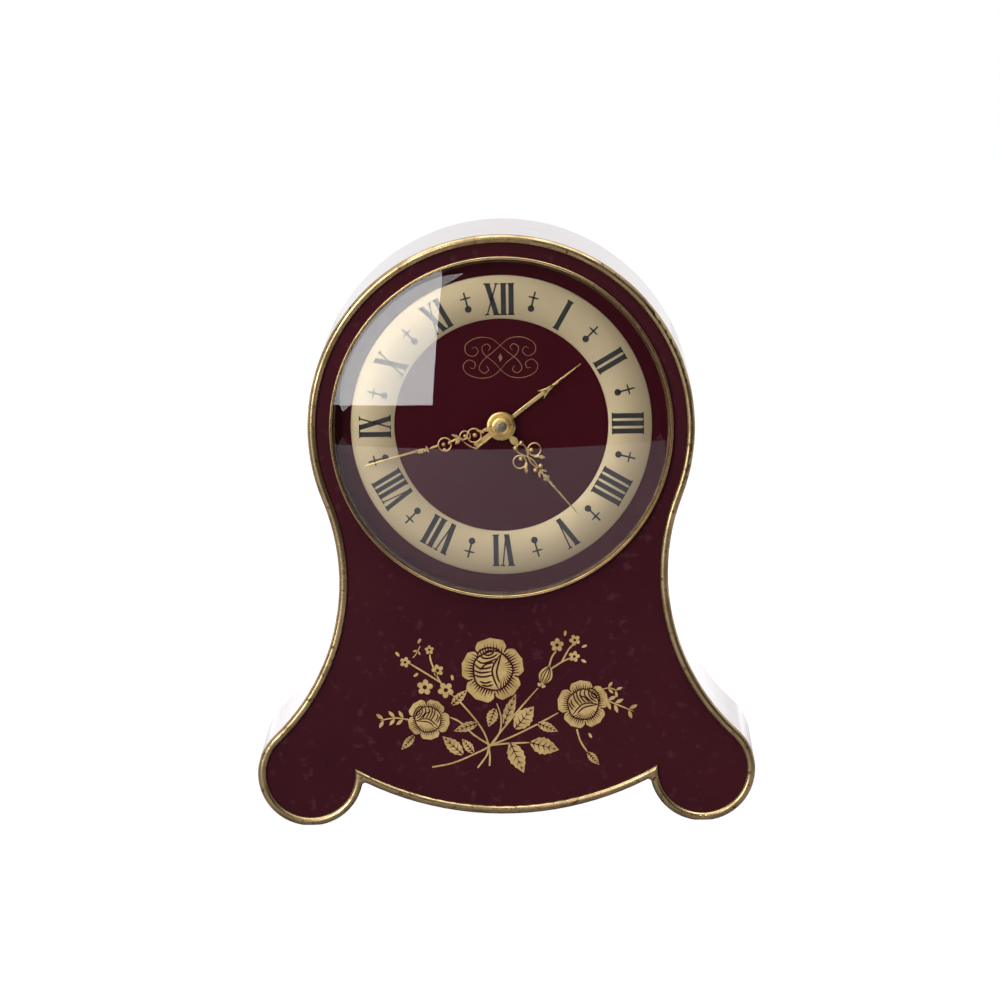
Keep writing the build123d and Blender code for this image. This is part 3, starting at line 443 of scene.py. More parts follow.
chapter_metal, chapter_tree, chapter_shader = finish("chapter metal", Metallic=0.72)
chapter_coordinates = node(chapter_tree, "TexCoord")
to_centre = node(chapter_tree, "Mapping", Location=(0, 0, -dial_z), Scale=(1, 0, 1))
radius_of = node(chapter_tree, "VectorMath")
radius_of.operation = "LENGTH"
brush_noise = node(chapter_tree, "TexNoise", Scale=9000.0, Detail=3.0)
brush_noise.noise_dimensions = "1D"
brushed_colour = blended(chapter_tree, brush_noise.outputs["Fac"], (0.41, 0.325, 0.185), (0.62, 0.51, 0.32))
brushed_rough = blended(chapter_tree, brush_noise.outputs["Fac"], 0.46, 0.60)
linked(
    chapter_tree,
    (chapter_coordinates.outputs["Object"], to_centre.inputs["Vector"]),
    (to_centre.outputs["Vector"], radius_of.inputs[0]),
    (radius_of.outputs["Value"], brush_noise.inputs["W"]),
    (brushed_colour, chapter_shader.inputs["Base Color"]),
    (brushed_rough, chapter_shader.inputs["Roughness"]),
)
rippled(chapter_tree, chapter_shader, brush_noise.outputs["Fac"], 0.12, 0.01)
print("metals ready")

# %% [markdown]
# The glass is a shallow dome of acrylic. It stays a plain transmitting shader, but shadow rays and diffuse
# rays pass straight through it, so that the studio light reaches the dial. The printing inks are a gold for
# the flowers on the panel, a duller gold for the scroll on the dial, and a black for the numerals.

# %% Glass and inks
glass, glass_tree, glass_shader = finish("glass", Transmission_Weight=1.0, IOR=1.49, Roughness=0.0)
clear = node(glass_tree, "BsdfTransparent")
ray = node(glass_tree, "LightPath")
either_ray = node(glass_tree, "Math")
either_ray.operation = "MAXIMUM"
glass_mix = node(glass_tree, "MixShader")
linked(
    glass_tree,
    (ray.outputs["Is Shadow Ray"], either_ray.inputs[0]),
    (ray.outputs["Is Diffuse Ray"], either_ray.inputs[1]),
    (either_ray.outputs["Value"], glass_mix.inputs["Fac"]),
    (glass_shader.outputs["BSDF"], glass_mix.inputs[1]),
    (clear.outputs["BSDF"], glass_mix.inputs[2]),
    (glass_mix.outputs["Shader"], glass_tree.nodes["Material Output"].inputs["Surface"]),
)

black_ink = ink("black ink", (0.006, 0.006, 0.007), (0.012, 0.011, 0.011), (400, 2500), Roughness=0.45)[0]
pen_gold = ink(
    "pen gold", (0.20, 0.090, 0.040), (0.36, 0.19, 0.085), (300, 2200), Metallic=0.3, Roughness=0.45
)[0]
gold_print, gold_tree, gold_shader, gold_effect = ink(
    "gold print", (0.37, 0.24, 0.08), (0.60, 0.43, 0.17), (220, 2200), Metallic=0.35
)
gold_sheen = blended(gold_tree, gold_effect.outputs["Blotches"], 0.5, 0.36)
linked(gold_tree, (gold_sheen, gold_shader.inputs["Roughness"]))
print("glass and inks ready")

# %% [markdown]
# Now the solids get their finishes. Each node keeps its own mesh, and one loop gives it the material of
# the piece it stands for. What no list names is a wheel or a plate of the movement, in brass.

# %% Dress the solids
dressed = {
    panel_lacquer: ["front_panel"],
    band_lacquer: ["case_band"],
    dial_lacquer: ["dial_plate", "dial_spacer"],
    rim_brass: ["front_rim"],
    cover_brass: ["back_cover"],
    key_brass: ["time_key_hub", "alarm_key_hub", "time_key_wing", "alarm_key_wing", "hand_set_knob",
                "alarm_set_knob", "regulator_lever", "stop_slide"],
    steel: ["cover_screws", "post_screws", "pillar_screws", "click_screws", "gong", "alarm_hammer",
            "pallet_lever", "time_winding_arbor", "alarm_winding_arbor", "time_ratchet", "alarm_ratchet",
            "time_click", "alarm_click", "hairspring_stud", "alarm_set_arbor"],
    blue_steel: ["hairspring", "time_mainspring", "alarm_mainspring"],
}
finish_of = {name: material for material, names in dressed.items() for name in names}
for name, solid in nodes.items():
    solid.data.materials.clear()
    solid.data.materials.append(finish_of.get(name, movement_brass))
print("dressed", len(nodes), "nodes, of which", len(finish_of), "by name")


def fitted(piece, material, body, slot, *replaced):
    """Gives a finished piece its material and its body, and hides the nodes that it stands for. The slot is
    not used.
    """
    piece.data.materials.clear()
    piece.data.materials.append(material)
    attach(piece, body)
    if replaced:
        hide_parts(*replaced)
    return piece

# %% [markdown]
# The bezel is a drawn brass ring with a fine groove between its two beads. On a lathe it would be turned
# from its section, and spin does just that. The faces of its inner wall get a dark metal, which is painted
# shade inside the bezel where the glass sits.

# %% Bezel
bezel_section = [
    (42.62, 0.0), (42.62, -1.05), (42.70, -1.26), (42.84, -1.34), (42.93, -1.28), (42.95, -1.05),
    (43.03, -1.05), (43.05, -1.36), (43.16, -1.46), (43.32, -1.42), (43.44, -1.26), (43.49, -0.95),
    (43.49, -0.02), (43.09, -0.02), (43.09, 2.98), (41.92, 2.98), (41.92, 0.02), (42.60, 0.02),
]
bezel = turned("bezel_ring", bezel_section, 192, 50)
fitted(bezel, bezel_brass, "case", "bezel_brass", "dial_bezel")
bezel.data.materials.append(bezel_painted_shade)
# Faces inside this radius are the bezel's inner wall, and they get the dark metal as painted shade.
painted_shade_radius = 42.66
for face in bezel.data.polygons:
    if hypot(face.center.x, face.center.z - dial_z) < painted_shade_radius * mm:
        face.material_index = 1
print("bezel faces", len(bezel.data.polygons))

# %% [markdown]
# The glass is a slice of a large hollow ball, thick at its rim where it sits in the bezel. Its dome radius
# follows from the rise and the glass radius. Many rings across the dome keep the reflections straight.

# %% Glass dome
glass_edge = 1.0
glass_rise = -(glass_low.y - face_y) / mm - glass_edge
dome = (glass_radius**2 / glass_rise + glass_rise) / 2
rings_across = 28
radii = [glass_radius * k / rings_across for k in range(rings_across + 1)]
outer_dome = [(r, -glass_edge - glass_rise + dome - sqrt(dome**2 - r**2)) for r in radii]
inner_radii = [(glass_radius - glass_edge) * k / rings_across for k in range(rings_across + 1)]
inner_dome = [(r, -glass_rise + dome - sqrt(dome**2 - r**2)) for r in inner_radii]
rim_steps = [(glass_radius, -glass_edge), (glass_radius, -0.02), (glass_radius - glass_edge, -0.02)]
crystal_section = outer_dome[:-1] + rim_steps + inner_dome[::-1][1:]
fitted(turned("crystal_dome", crystal_section, 192, 40), glass, "case", "glass", "crystal")
print("dome radius", round(dome, 1), "rise", round(glass_rise, 2))

# %% [markdown]
# The chapter ring is a thin washer laid on the dial. Its two edges are rounded a little, so they catch a
# line of light where the ring meets the lacquer.

# %% Chapter ring
ring_inner = 27.0
ring_face, ring_back = 5.52, 5.9
ring_round = 0.14
chapter_section = [
    (ring_inner, ring_back), (ring_inner, ring_face + ring_round),
    (ring_inner + ring_round / 3, ring_face + ring_round / 3), (ring_inner + ring_round, ring_face),
    (ring_outer - ring_round, ring_face), (ring_outer - ring_round / 3, ring_face + ring_round / 3),
    (ring_outer, ring_face + ring_round), (ring_outer, ring_back),
]
chapter = turned("chapter_washer", chapter_section, 192, 50)
fitted(chapter, chapter_metal, "case", "chapter_metal", "chapter_ring")
print("chapter ring from", ring_inner, "to", round(ring_outer, 2))

# %% [markdown]
# Roman numerals stand round the ring with their feet towards the centre. Each is set from three letters:
# a thick upright, a thick and a thin slanting stroke, and fine bars across the ends. Every stroke is a thin
# slab of ink, a few hundredths of a millimetre proud of the metal, and the four is written with four ones.

# %% Numerals
ink_proud = 0.03
hour_step = 30
letter_low, letter_high = 27.9, 36.0
thick, thin, bar = 1.3, 0.38, 0.34
letter_width = {"I": 1.95, "V": 3.7, "X": 3.9}
wide_bar, short_bar, bar_room = 1.75, 1.1, 0.75
v_thick_foot, v_thin_foot = 0.1, 0.25
numeral_room = 8.3


def slab(outline):
    """A flat shape in ink on the chapter ring."""
    return filled("slab", outline, ring_face, ink_proud)


def stroke(x_low, x_high, width):
    """A slanting stroke from its foot to its head."""
    half = width / 2
    foot = [(x_low - half, letter_low), (x_low + half, letter_low)]
    return slab([*foot, (x_high + half, letter_high), (x_high - half, letter_high)])


def end_bar(x, length, level):
    """A fine bar across the end of a stroke."""
    left, right = x - length / 2, x + length / 2
    return slab([(left, level), (right, level), (right, level + bar), (left, level + bar)])


def letter(kind, x):
    """The strokes of one letter about its middle."""
    head = letter_high - bar
    if kind == "I":
        return [stroke(x, x, thick), end_bar(x, wide_bar, letter_low), end_bar(x, wide_bar, head)]
    half = letter_width[kind] / 2 - bar_room
    heads = [end_bar(x - half, wide_bar, head), end_bar(x + half, short_bar, head)]
    if kind == "V":
        return [stroke(x + v_thick_foot, x - half, thick), stroke(x + v_thin_foot, x + half, thin), *heads]
    feet = [end_bar(x + half, wide_bar, letter_low), end_bar(x - half, short_bar, letter_low)]
    return [stroke(x + half, x - half, thick), stroke(x - half, x + half, thin), *heads, *feet]


numerals = ("XII", "I", "II", "III", "IIII", "V", "VI", "VII", "VIII", "IX", "X", "XI")
numeral_pieces = []
for hour, letters in enumerate(numerals):
    total = sum(letter_width[kind] for kind in letters)
    squeeze = min(1, numeral_room / total)
    place, strokes = -total / 2, []
    for kind in letters:
        strokes += letter(kind, place + letter_width[kind] / 2)
        place += letter_width[kind]
    numeral = joined(f"numeral_{letters}", strokes)
    numeral.scale = (squeeze, 1, 1)
    only(numeral)
    bpy.ops.object.transform_apply(location=False, rotation=False, scale=True)
    numeral_pieces.append(swung(numeral, hour_step * hour))
    fitted(numeral_pieces[-1], black_ink, "case", "chapter_metal")
print("numerals", len(numeral_pieces))

# %% [markdown]
# Between the numerals stands a small mark for each half hour: a ball towards the centre, a stem and a
# cross near its outer end. One mark is made and then copied round the ring with its own mesh each time.

# %% Half-hour marks
mark_ball, mark_low, mark_cross, mark_high = 0.85, 30.5, 33.3, 34.9
mark_arm = 1.35
mark_stem = [(0, mark_low), (0, (mark_low + mark_high) / 2), (0, mark_high)]
mark = joined("half_hour_mark_1", [
    slab(arc((0, mark_low), mark_ball, 0, 345, 23)),
    slab(ribbon(mark_stem, 0.45)),
    slab(ribbon([(-mark_arm, mark_cross), (0, mark_cross), (mark_arm, mark_cross)], 0.5, 0.6, 0.6)),
])
marks = [mark]
for half_hour in range(1, 12):
    marks.append(copied(mark, hour_step * half_hour + hour_step / 2))
    marks[-1].name = f"half_hour_mark_{half_hour + 1}"
swung(mark, hour_step / 2)
for piece in marks:
    fitted(piece, black_ink, "case", "chapter_metal")
print("half-hour marks", len(marks))

# %% [markdown]
# The hands are stamped and chased openwork, richly scrolled near the centre and drawn out to needles. Each
# is made pointing at twelve from wires, leaves and pearls that touch, then turned to its time.
# The hour hand is symmetrical: a leaf at the boss, a pair of pearls, two loops that cross, a ring scroll
# with a pearl on either side, and a small arrow before the needle.

# %% Parts of the hands
hour_angle, minute_angle, alarm_angle = 139.9, 254.7, 52.7


def leaf_outline(root, tip, width, steps=8):
    """A pointed leaf between two points."""
    side = width / hypot(tip[0] - root[0], tip[1] - root[1]) / 2
    return bow(root, tip, side, steps) + bow(tip, root, side, steps)[1:-1]


def softened(piece, width):
    """Small round bevels on every hard edge."""
    only(piece)
    bevel = piece.modifiers.new("edges", "BEVEL")
    bevel.width = width * mm
    bevel.segments = 2
    bevel.limit_method = "ANGLE"
    bevel.angle_limit = radians(30)
    bpy.ops.object.modifier_apply(modifier=bevel.name)
    bpy.ops.object.shade_smooth_by_angle(angle=radians(40))
    return piece


def plate(outline, middle, thickness=0.36, soft=0.08):
    """A flat part of a hand with softened edges, centred on a depth."""
    return softened(filled("plate", outline, middle + thickness / 2, thickness), soft)


def leaf(root, tip, width, middle):
    """A solid leaf, standing forward of the wires."""
    return plate(leaf_outline(root, tip, width), middle, soft=0.09)


def ring(x, z, radius, depth, gauge=0.2):
    """A ring scroll of round wire."""
    fresh()
    bpy.ops.mesh.primitive_torus_add(
        major_segments=40, minor_segments=10, major_radius=radius * mm, minor_radius=gauge * mm,
        location=at(x, depth, z), rotation=(pi / 2, 0, 0),
    )
    scroll = bpy.context.active_object
    bpy.ops.object.transform_apply(location=True, rotation=True, scale=True)
    return closed_up(scroll, 60)


def both_sides(make, x, *rest):
    """The same part on the left and the right."""
    return [make(side * x, *rest) for side in (-1, 1)]


def needle(start, end, width, middle, point=0.09):
    """A tapering blade, drawn out to a point."""
    return plate([(-width / 2, start), (width / 2, start), (point, end), (-point, end)], middle)


# %% Hour hand
hour_middle = 3.25
hour_boss = [
    (2.25, 2.94), (2.48, 2.94), (2.58, 3.04), (2.66, 3.16), (2.98, 3.16), (3.06, 3.04), (3.14, 2.98),
    (3.4, 3.0), (3.6, 3.1), (3.65, 3.25), (3.6, 3.42), (2.25, 3.48),
]
gauge = 0.2
hour_parts = [
    turned("boss", hour_boss, 64, 30),
    leaf((0, 3.2), (0, 6.6), 1.9, hour_middle),
    leaf((0, 14.6), (0, 16.2), 0.7, hour_middle),
    leaf((0, 15.9), (0, 18.8), 1.15, hour_middle),
    needle(17.9, 29.4, 0.62, hour_middle),
]
hour_parts += both_sides(pearl, 0.98, 6.5, 0.62, hour_middle)
hour_parts += both_sides(pearl, 0.88, 14.1, 0.6, hour_middle)
hour_parts += both_sides(ring, 2.45, 9.9, 1.62, hour_middle, gauge)
hour_parts += both_sides(pearl, 1.75, 9.5, 0.56, hour_middle)
for side in (-1, 1):
    loop = smooth_path([
        (0.1 * side, 6.4), (0.95 * side, 6.9), (1.15 * side, 7.9), (0.75 * side, 9.0), (0, 10.4),
        (-0.35 * side, 11.6), (-0.35 * side, 12.8), (-0.1 * side, 14.1),
    ])
    hour_parts.append(wire("loop", loop, 0.19, hour_middle))
    flare = smooth_path([(1.15 * side, 11.2), (1.7 * side, 11.7), (2.4 * side, 12.1), (3.05 * side, 13.1)])
    hour_parts.append(wire("flare", flare, 0.26, hour_middle, (0.7, 0.9)))
    hour_parts.append(leaf((1.75 * side, 11.5), (3.15 * side, 13.3), 0.85, hour_middle))
    hour_parts.append(leaf((0.35 * side, 14.9), (1.25 * side, 16.3), 0.55, hour_middle))
    hour_parts.append(leaf((0.1 * side, 17.6), (0.95 * side, 17.3), 0.55, hour_middle))
hour_hand = joined("hour_hand_openwork", hour_parts)
swung(hour_hand, hour_angle)
fitted(hour_hand, gilt, "hour_work", "gilt", "hour_hand")
print("hour hand faces", len(hour_hand.data.polygons))

# %% [markdown]
# The minute hand is not symmetrical. From the boss a beaded stalk runs to a large ring with a pearl, a
# strap leaves the boss on one side and comes back at a corner, and a second ring with three pearls stands
# further out, before a small cross, a diamond and the needle.

# %% Minute hand
minute_middle = 2.05
minute_boss = [
    (1.45, 1.84), (1.62, 1.8), (1.72, 1.88), (1.86, 1.9), (1.94, 1.82), (2.15, 1.84), (2.36, 1.95),
    (2.4, 2.1), (2.36, 2.28), (1.45, 2.28),
]
minute_parts = [
    turned("boss", minute_boss, 64, 30),
    leaf((0.15, 2.0), (0.45, 4.9), 1.0, minute_middle),
    ring(-0.2, 7.2, 1.75, minute_middle, gauge),
    pearl(-0.2, 7.0, 0.58, minute_middle),
    ring(-0.35, 14.95, 1.65, minute_middle, gauge),
    pearl(-0.3, 15.25, 0.5, minute_middle),
    pearl(-0.3, 13.7, 0.45, minute_middle),
    pearl(-1.6, 15.4, 0.45, minute_middle),
    leaf((-0.1, 4.4), (0.9, 6.4), 0.6, minute_middle),
    leaf((-0.1, 16.3), (-0.3, 19.0), 0.6, minute_middle),
    leaf((-1.25, 19.4), (0.65, 19.6), 0.55, minute_middle),
    leaf((-0.35, 19.3), (-0.3, 22.6), 1.15, minute_middle),
    leaf((0.2, 10.6), (1.5, 12.6), 0.8, minute_middle),
    leaf((-0.2, 10.8), (-1.1, 12.4), 0.8, minute_middle),
    leaf((0.0, 10.2), (0.0, 13.4), 0.75, minute_middle),
]
minute_parts.append(needle(21.6, 36.0, 0.6, minute_middle))
strap = [(-1.2, 1.9), (-2.3, 4.4), (-3.1, 6.4), (-3.6, 7.6), (-2.6, 8.9), (-1.2, 10.1)]
minute_parts.append(plate(ribbon(strap, 0.34, 0.9, 0.6), minute_middle, 0.3, 0.06))
curl = arc((0.25, 9.45), 1.3, 150, -290, 22)
minute_parts.append(wire("curl", curl, 0.18, minute_middle, (0.7, 0.9)))
minute_parts.append(pearl(0.3, 9.5, 0.46, minute_middle))
minute_parts.append(wire("spine", [(-0.1, 4.6), (-0.05, 5.5)], 0.22, minute_middle))
spine = smooth_path([(-0.2, 8.9), (-0.5, 9.8), (-0.1, 10.8), (0, 12.0), (-0.2, 13.4)])
minute_parts.append(wire("spine", spine, 0.2, minute_middle))
minute_hand = joined("minute_hand_openwork", minute_parts)
swung(minute_hand, minute_angle)
fitted(minute_hand, gilt, "minute_work", "gilt", "minute_hand")
print("minute hand faces", len(minute_hand.data.polygons))

# %% [markdown]
# The alarm hand is plain: a round boss, a rod with a short tail, and an arrowhead that narrows to a needle.
# A dull metal cap with a small raised middle closes the centre.

# %% Alarm hand and cap
alarm_middle = 4.45
rod, tail = [(0, 2.9), (0, 9.0), (0, 14.6)], [(0, -8.4), (0, -5.0), (0, -2.9)]
head = [(0, 13.9), (1.3, 12.6), (0.6, 14.7), (0.3, 16.6), (-0.3, 16.6), (-0.6, 14.7), (-1.3, 12.6)]
alarm_parts = [
    turned("boss", [(2.8, 4.2), (3.3, 4.22), (3.4, 4.45), (3.3, 4.68), (2.8, 4.7)], 64, 40),
    plate(ribbon(rod, 1.0), alarm_middle, soft=0.1),
    plate(ribbon(tail, 1.2), alarm_middle, soft=0.1),
    plate(head, alarm_middle),
    needle(15.9, 25.5, 0.62, alarm_middle),
]
alarm_hand = joined("alarm_hand_arrow", alarm_parts)
swung(alarm_hand, alarm_angle)
fitted(alarm_hand, gilt, "alarm_work", "alarm_gilt", "alarm_hand")
cap_section = [
    (0, 0.98), (0.46, 1.0), (0.52, 1.08), (0.6, 1.16), (0.95, 1.18), (1.0, 1.25), (1.24, 1.27),
    (1.34, 1.36), (1.35, 1.8), (0, 1.8),
]
fitted(turned("centre_cap", cap_section, 48, 40), cap_metal, "minute_work", "steel", "hand_cap")
print("alarm hand faces", len(alarm_hand.data.polygons))

# %% [markdown]
# A spray of roses is printed in gold on the lower panel, in the manner of an engraving: solid gold petals
# and leaves, with fine burgundy lines over them for folds, veins and hatching. Each shape is an outline,
# drawn vertex by vertex and filled, and all of them are lifted by the thickness of the print. The lines
# are a second printing in the panel's colour. Neighbouring shapes are laid at slightly different heights,
# so that two that overlap never share a face.

# %% Helpers for printing
lay_step, lay_count, lay_sunk = 0.004, 6, 0.03


def printed(name, outlines, depth, proud, floor_up):
    """Many flat shapes as one print. Heights count from the floor, or else from the dial's centre."""
    drop = -dial_z / mm if floor_up else 0
    prints = []
    for count, outline in enumerate(outlines):
        lay = depth + lay_sunk - lay_step * (count % lay_count)
        prints.append([at(x, lay, z + drop) for x, z in outline])
    sheet = drawn(prints[0], name)
    edit_all()
    bpy.ops.mesh.edge_face_add()
    for points in prints[1:]:
        bpy.ops.mesh.select_all(action="DESELECT")
        bpy.ops.mesh.primitive_plane_add(size=mm, location=points[0])
        bpy.ops.mesh.merge(type="CENTER")
        for here, there in zip(points, points[1:]):
            bpy.ops.mesh.extrude_region_move(TRANSFORM_OT_translate={"value": there - here})
        bpy.ops.mesh.select_linked()
        bpy.ops.mesh.edge_face_add()
    bpy.ops.mesh.select_all(action="SELECT")
    rise_by = (0, -(proud + lay_sunk) * mm, 0)
    bpy.ops.mesh.extrude_region_move(TRANSFORM_OT_translate={"value": rise_by})
    bpy.ops.mesh.normals_make_consistent(inside=False)
    bpy.ops.object.mode_set(mode="OBJECT")
    bpy.ops.object.shade_smooth_by_angle(angle=radians(35))
    return sheet


def polar(centre, radius, angle):
    """A point at a radius and an angle from a centre."""
    return (centre[0] + radius * cos(radians(angle)), centre[1] + radius * sin(radians(angle)))


def wedge(root, tip, width):
    """A hatch line: a thin triangle, as a graver cuts it."""
    dx, dz = tip[0] - root[0], tip[1] - root[1]
    length = hypot(dx, dz)
    ox, oz = -dz / length * width / 2, dx / length * width / 2
    return [(root[0] - ox, root[1] - oz), tip, (root[0] + ox, root[1] + oz)]


def framed(centre, lean, scale=1, flip=1):
    """Places points drawn upright about (0, 0): scaled, flipped, turned and moved to a centre."""
    turn = radians(lean)

    def spot(u, v):
        x, z = scale * flip * u, scale * v
        return (centre[0] + x * cos(turn) - z * sin(turn), centre[1] + x * sin(turn) + z * cos(turn))

    return spot


def oval(centre, along, across, angle, steps=8):
    """A small oval dot."""
    spot = framed(centre, angle)
    return [spot(along * cos(2 * pi * k / steps), across * sin(2 * pi * k / steps)) for k in range(steps)]


print("printing helpers ready")

# %% [markdown]
# A rose is drawn once in a circle of radius one, with its heart at the top. Wide petals with wavy edges
# stand round a cup, and the cup's folds are a few flowing lines: the edges of two large petals that close
# over each other, the rolled lip of the left one, and the small petals about the heart.

# %% Rose
# Radii and line widths are shares of the rose's own radius.
origin = (0, 0)
cup, petal_root, rose_disc = 0.62, 0.5, 0.72
gap_width, hatch_width, rim_width, fold_width = 0.13, 0.062, 0.055, 0.058
hatch_tips = (0.93, 0.84, 0.89)
rose_folds = (
    [(0.32, 0.52), (0.10, 0.27), (-0.02, 0.0), (0.03, -0.32), (0.14, -0.60)],
    [(0.32, 0.52), (0.20, 0.22), (0.12, -0.04), (0.14, -0.26), (0.20, -0.40)],
    [(-0.61, 0.08), (-0.38, -0.03), (-0.04, -0.02)],
    [(-0.60, -0.08), (-0.34, -0.17), (0.0, -0.13)],
    [(-0.58, 0.30), (-0.40, 0.11), (-0.14, 0.10), (-0.02, 0.14)],
    [(-0.40, 0.06), (-0.20, 0.22), (0.08, 0.26)],
    [(-0.50, 0.42), (-0.32, 0.27), (-0.06, 0.30), (0.16, 0.38)],
    [(-0.38, 0.54), (-0.24, 0.42), (0.0, 0.42), (0.20, 0.52)],
    [(-0.46, 0.46), (-0.36, 0.66), (-0.10, 0.74), (0.18, 0.68), (0.32, 0.52)],
    [(-0.26, 0.56), (-0.10, 0.50), (0.06, 0.57), (-0.04, 0.64), (-0.18, 0.62)],
    [(-0.44, -0.30), (-0.26, -0.37), (-0.06, -0.33)],
    [(-0.38, -0.42), (-0.22, -0.47), (-0.02, -0.44)],
)


def rose_petal(spot, middle, half, rim, radius):
    """One wide petal with a wavy edge, as its gold shape and its hatch lines."""
    edge = []
    for count in range(13):
        share = count / 6 - 1
        reach = rim - 0.15 * share**4 - 0.035 * abs(sin(1.5 * pi * share))
        edge.append(spot(*polar(origin, reach, middle + 0.95 * half * share)))
    inner = [spot(*polar(origin, petal_root, middle + half * share)) for share in (0.9, 0, -0.9)]
    gap = middle + half
    lines = [wedge(spot(*polar(origin, 1.04, gap)), spot(*polar(origin, cup, gap)), gap_width * radius)]
    for count in range(9):
        share = count / 4 - 1
        reach = hatch_tips[count % 3] - 0.06 * share**2
        root = spot(*polar(origin, cup, middle + 0.82 * half * share))
        tip = spot(*polar(origin, reach, middle + 0.72 * half * share))
        lines.append(wedge(root, tip, hatch_width * radius))
    return edge + inner, lines


def rose(centre, radius, lean, flip, open_at, petals=5):
    """An open rose, as gold shapes and the lines over them, leaning by an angle and flipped if asked."""
    spot = framed(centre, lean, radius, flip)
    half = 180 / petals
    gold = [[spot(*polar(origin, rose_disc, 24 * k)) for k in range(15)]]
    lines = []
    for k in range(petals):
        shape, hatch = rose_petal(spot, open_at + 2 * half * k, half, 1.0 + 0.05 * (k % 2), radius)
        gold.append(shape)
        lines += hatch
    outline = [spot(*polar(origin, cup + 0.02 * cos(radians(60 * k)), 12 * k)) for k in range(31)]
    lines += [ribbon(outline[:16], rim_width * radius), ribbon(outline[15:], rim_width * radius)]
    for fold in rose_folds:
        line = smooth_path([spot(u, v) for u, v in fold], 4)
        lines.append(ribbon(line, fold_width * radius, 0.35, 0.35))
    for k in range(11):
        angle = 24 - 9.5 * k
        root, tip = polar(origin, cup, angle), polar((0.1, 0), 0.30 + 0.02 * (k % 2), angle + 10)
        lines.append(wedge(spot(*root), spot(*tip), rim_width * radius))
    return gold, lines


# %% [markdown]
# A leaf has a toothed edge, a midrib and slanting veins. The small flowers have five round petals about a
# dark eye, and thin twigs carry pairs of leaflets.

# %% Leaves, small flowers and twigs
def veined_leaf(root, tip, width, veins=5, teeth=12):
    """A toothed leaf in gold, with its midrib and veins as lines."""
    dx, dz = tip[0] - root[0], tip[1] - root[1]
    length = hypot(dx, dz)
    place = framed(root, degrees(atan2(dz, dx)))

    def reach(share):
        return width / 2 * sin(pi * share**0.85)

    def side_edge(side):
        return [place(k / teeth * length, side * reach(k / teeth) * (1.08 if k % 2 else 0.92))
                for k in range(1, teeth)]

    gold = [[root] + side_edge(1) + [tip] + side_edge(-1)[::-1]]
    lines = [wedge(root, place(0.9 * length, 0), 0.36)]
    for k in range(veins):
        low = 0.12 + 0.68 * k / (veins - 1)
        high = low + 0.13
        for side in (-1, 1):
            tip_of_vein = place(high * length, side * 0.82 * reach(high))
            lines.append(wedge(place(low * length, side * 0.04), tip_of_vein, 0.3))
    return gold, lines


def blossom(centre, radius, turn):
    """A small flower of five petals round a dark eye."""
    gold = []
    for angle in range(turn, turn + 360, 72):
        gold.append(oval(polar(centre, 0.62 * radius, angle), 0.42 * radius, 0.37 * radius, angle))
    gold.append(oval(centre, 0.4 * radius, 0.4 * radius, 0, 6))
    return gold, [oval(centre, 0.3 * radius, 0.3 * radius, 20, 6)]


def twig(path, width, leaves, size):
    """A thin branch with a pair of leaflets at each of the places along it."""
    line = smooth_path(path)
    shapes = [ribbon(line, width, 1.0, 0.3)]
    for share in leaves:
        count = int(share * (len(line) - 2))
        here, ahead = line[count], line[count + 1]
        angle = degrees(atan2(ahead[1] - here[1], ahead[0] - here[0]))
        for side in (-48, 48):
            tip = polar(here, size, angle + side)
            start = polar(here, 0.25, angle + side)
            shapes.append(leaf_outline(start, tip, size * 0.36, 4))
    return shapes, []


def bud(centre, length, width, lean):
    """A closed bud with sepals, pointing up before it leans."""
    spot = framed(centre, lean)
    half, low, high = width / 2, -length / 2, length / 2
    flank = [(0, low), (half, -0.1 * length), (0.7 * half, 0.28 * length), (0, high)]
    left = smooth_path([spot(-u, v) for u, v in flank], 4)
    right = smooth_path([spot(u, v) for u, v in flank[::-1]], 4)
    gold = [left + right[1:-1]]
    for side in (-1, 1):
        gold.append(leaf_outline(spot(0.2 * side, low), spot(0.72 * side * half, 0.12 * length), 0.5, 4))
        gold.append(oval(spot(0.35 * side * half, low - 0.1), 0.55, 0.4, lean + 40 * side))
    lines = []
    for share in (-0.62, -0.2, 0.3, 0.66):
        aside = share * half
        path = [spot(0.2 * aside, 0.42 * length), spot(aside, 0), spot(0.4 * aside, 0.82 * low)]
        lines.append(ribbon(smooth_path(path, 4), 0.26, 0.4, 0.4))
    return gold, lines


print("leaves and flowers ready")

# %% Rose spray
crossing = (-4.0, 19.8)
spray, engraving = [], []


def added(shapes):
    """Adds a flower's or leaf's gold and its lines to the print."""
    spray.extend(shapes[0])
    engraving.extend(shapes[1])


stems = (
    [(-18.9, 14.4), (-13.6, 15.4), (-8.2, 17.6), crossing, (-1.6, 23.2), (-1.2, 27.0), (-2.2, 30.6)],
    [(-7.3, 14.1), (-5.0, 17.2), crossing, (0.6, 25.6), (5.2, 31.0), (8.3, 34.4)],
    [(-4.3, 14.5), (-4.2, 17.5), (-4.9, 21.5), (-6.9, 25.4), (-11.0, 30.5), (-13.6, 33.0)],
    [crossing, (-8.2, 22.6), (-11.6, 25.9), (-14.2, 27.2)],
    [crossing, (2.0, 22.2), (8.2, 25.2), (13.4, 28.0)],
    [crossing, (-0.4, 20.2), (2.6, 20.3), (5.9, 20.4)],
    [(10.9, 38.8), (11.9, 42.2), (13.1, 43.9)],
    [(10.9, 38.8), (14.4, 41.0), (16.6, 42.0)],
    [(14.4, 41.0), (16.2, 44.2), (17.4, 45.4)],
    [(-13.6, 33.0), (-16.4, 36.2), (-18.6, 41.2), (-19.0, 43.6)],
    [(-16.4, 36.2), (-20.4, 38.8), (-24.2, 41.2)],
    [(18.0, 23.7), (18.9, 20.6), (20.6, 17.8)],
)
for stem in stems:
    spray.append(ribbon(smooth_path(stem), 0.42, 1.0, 0.45))
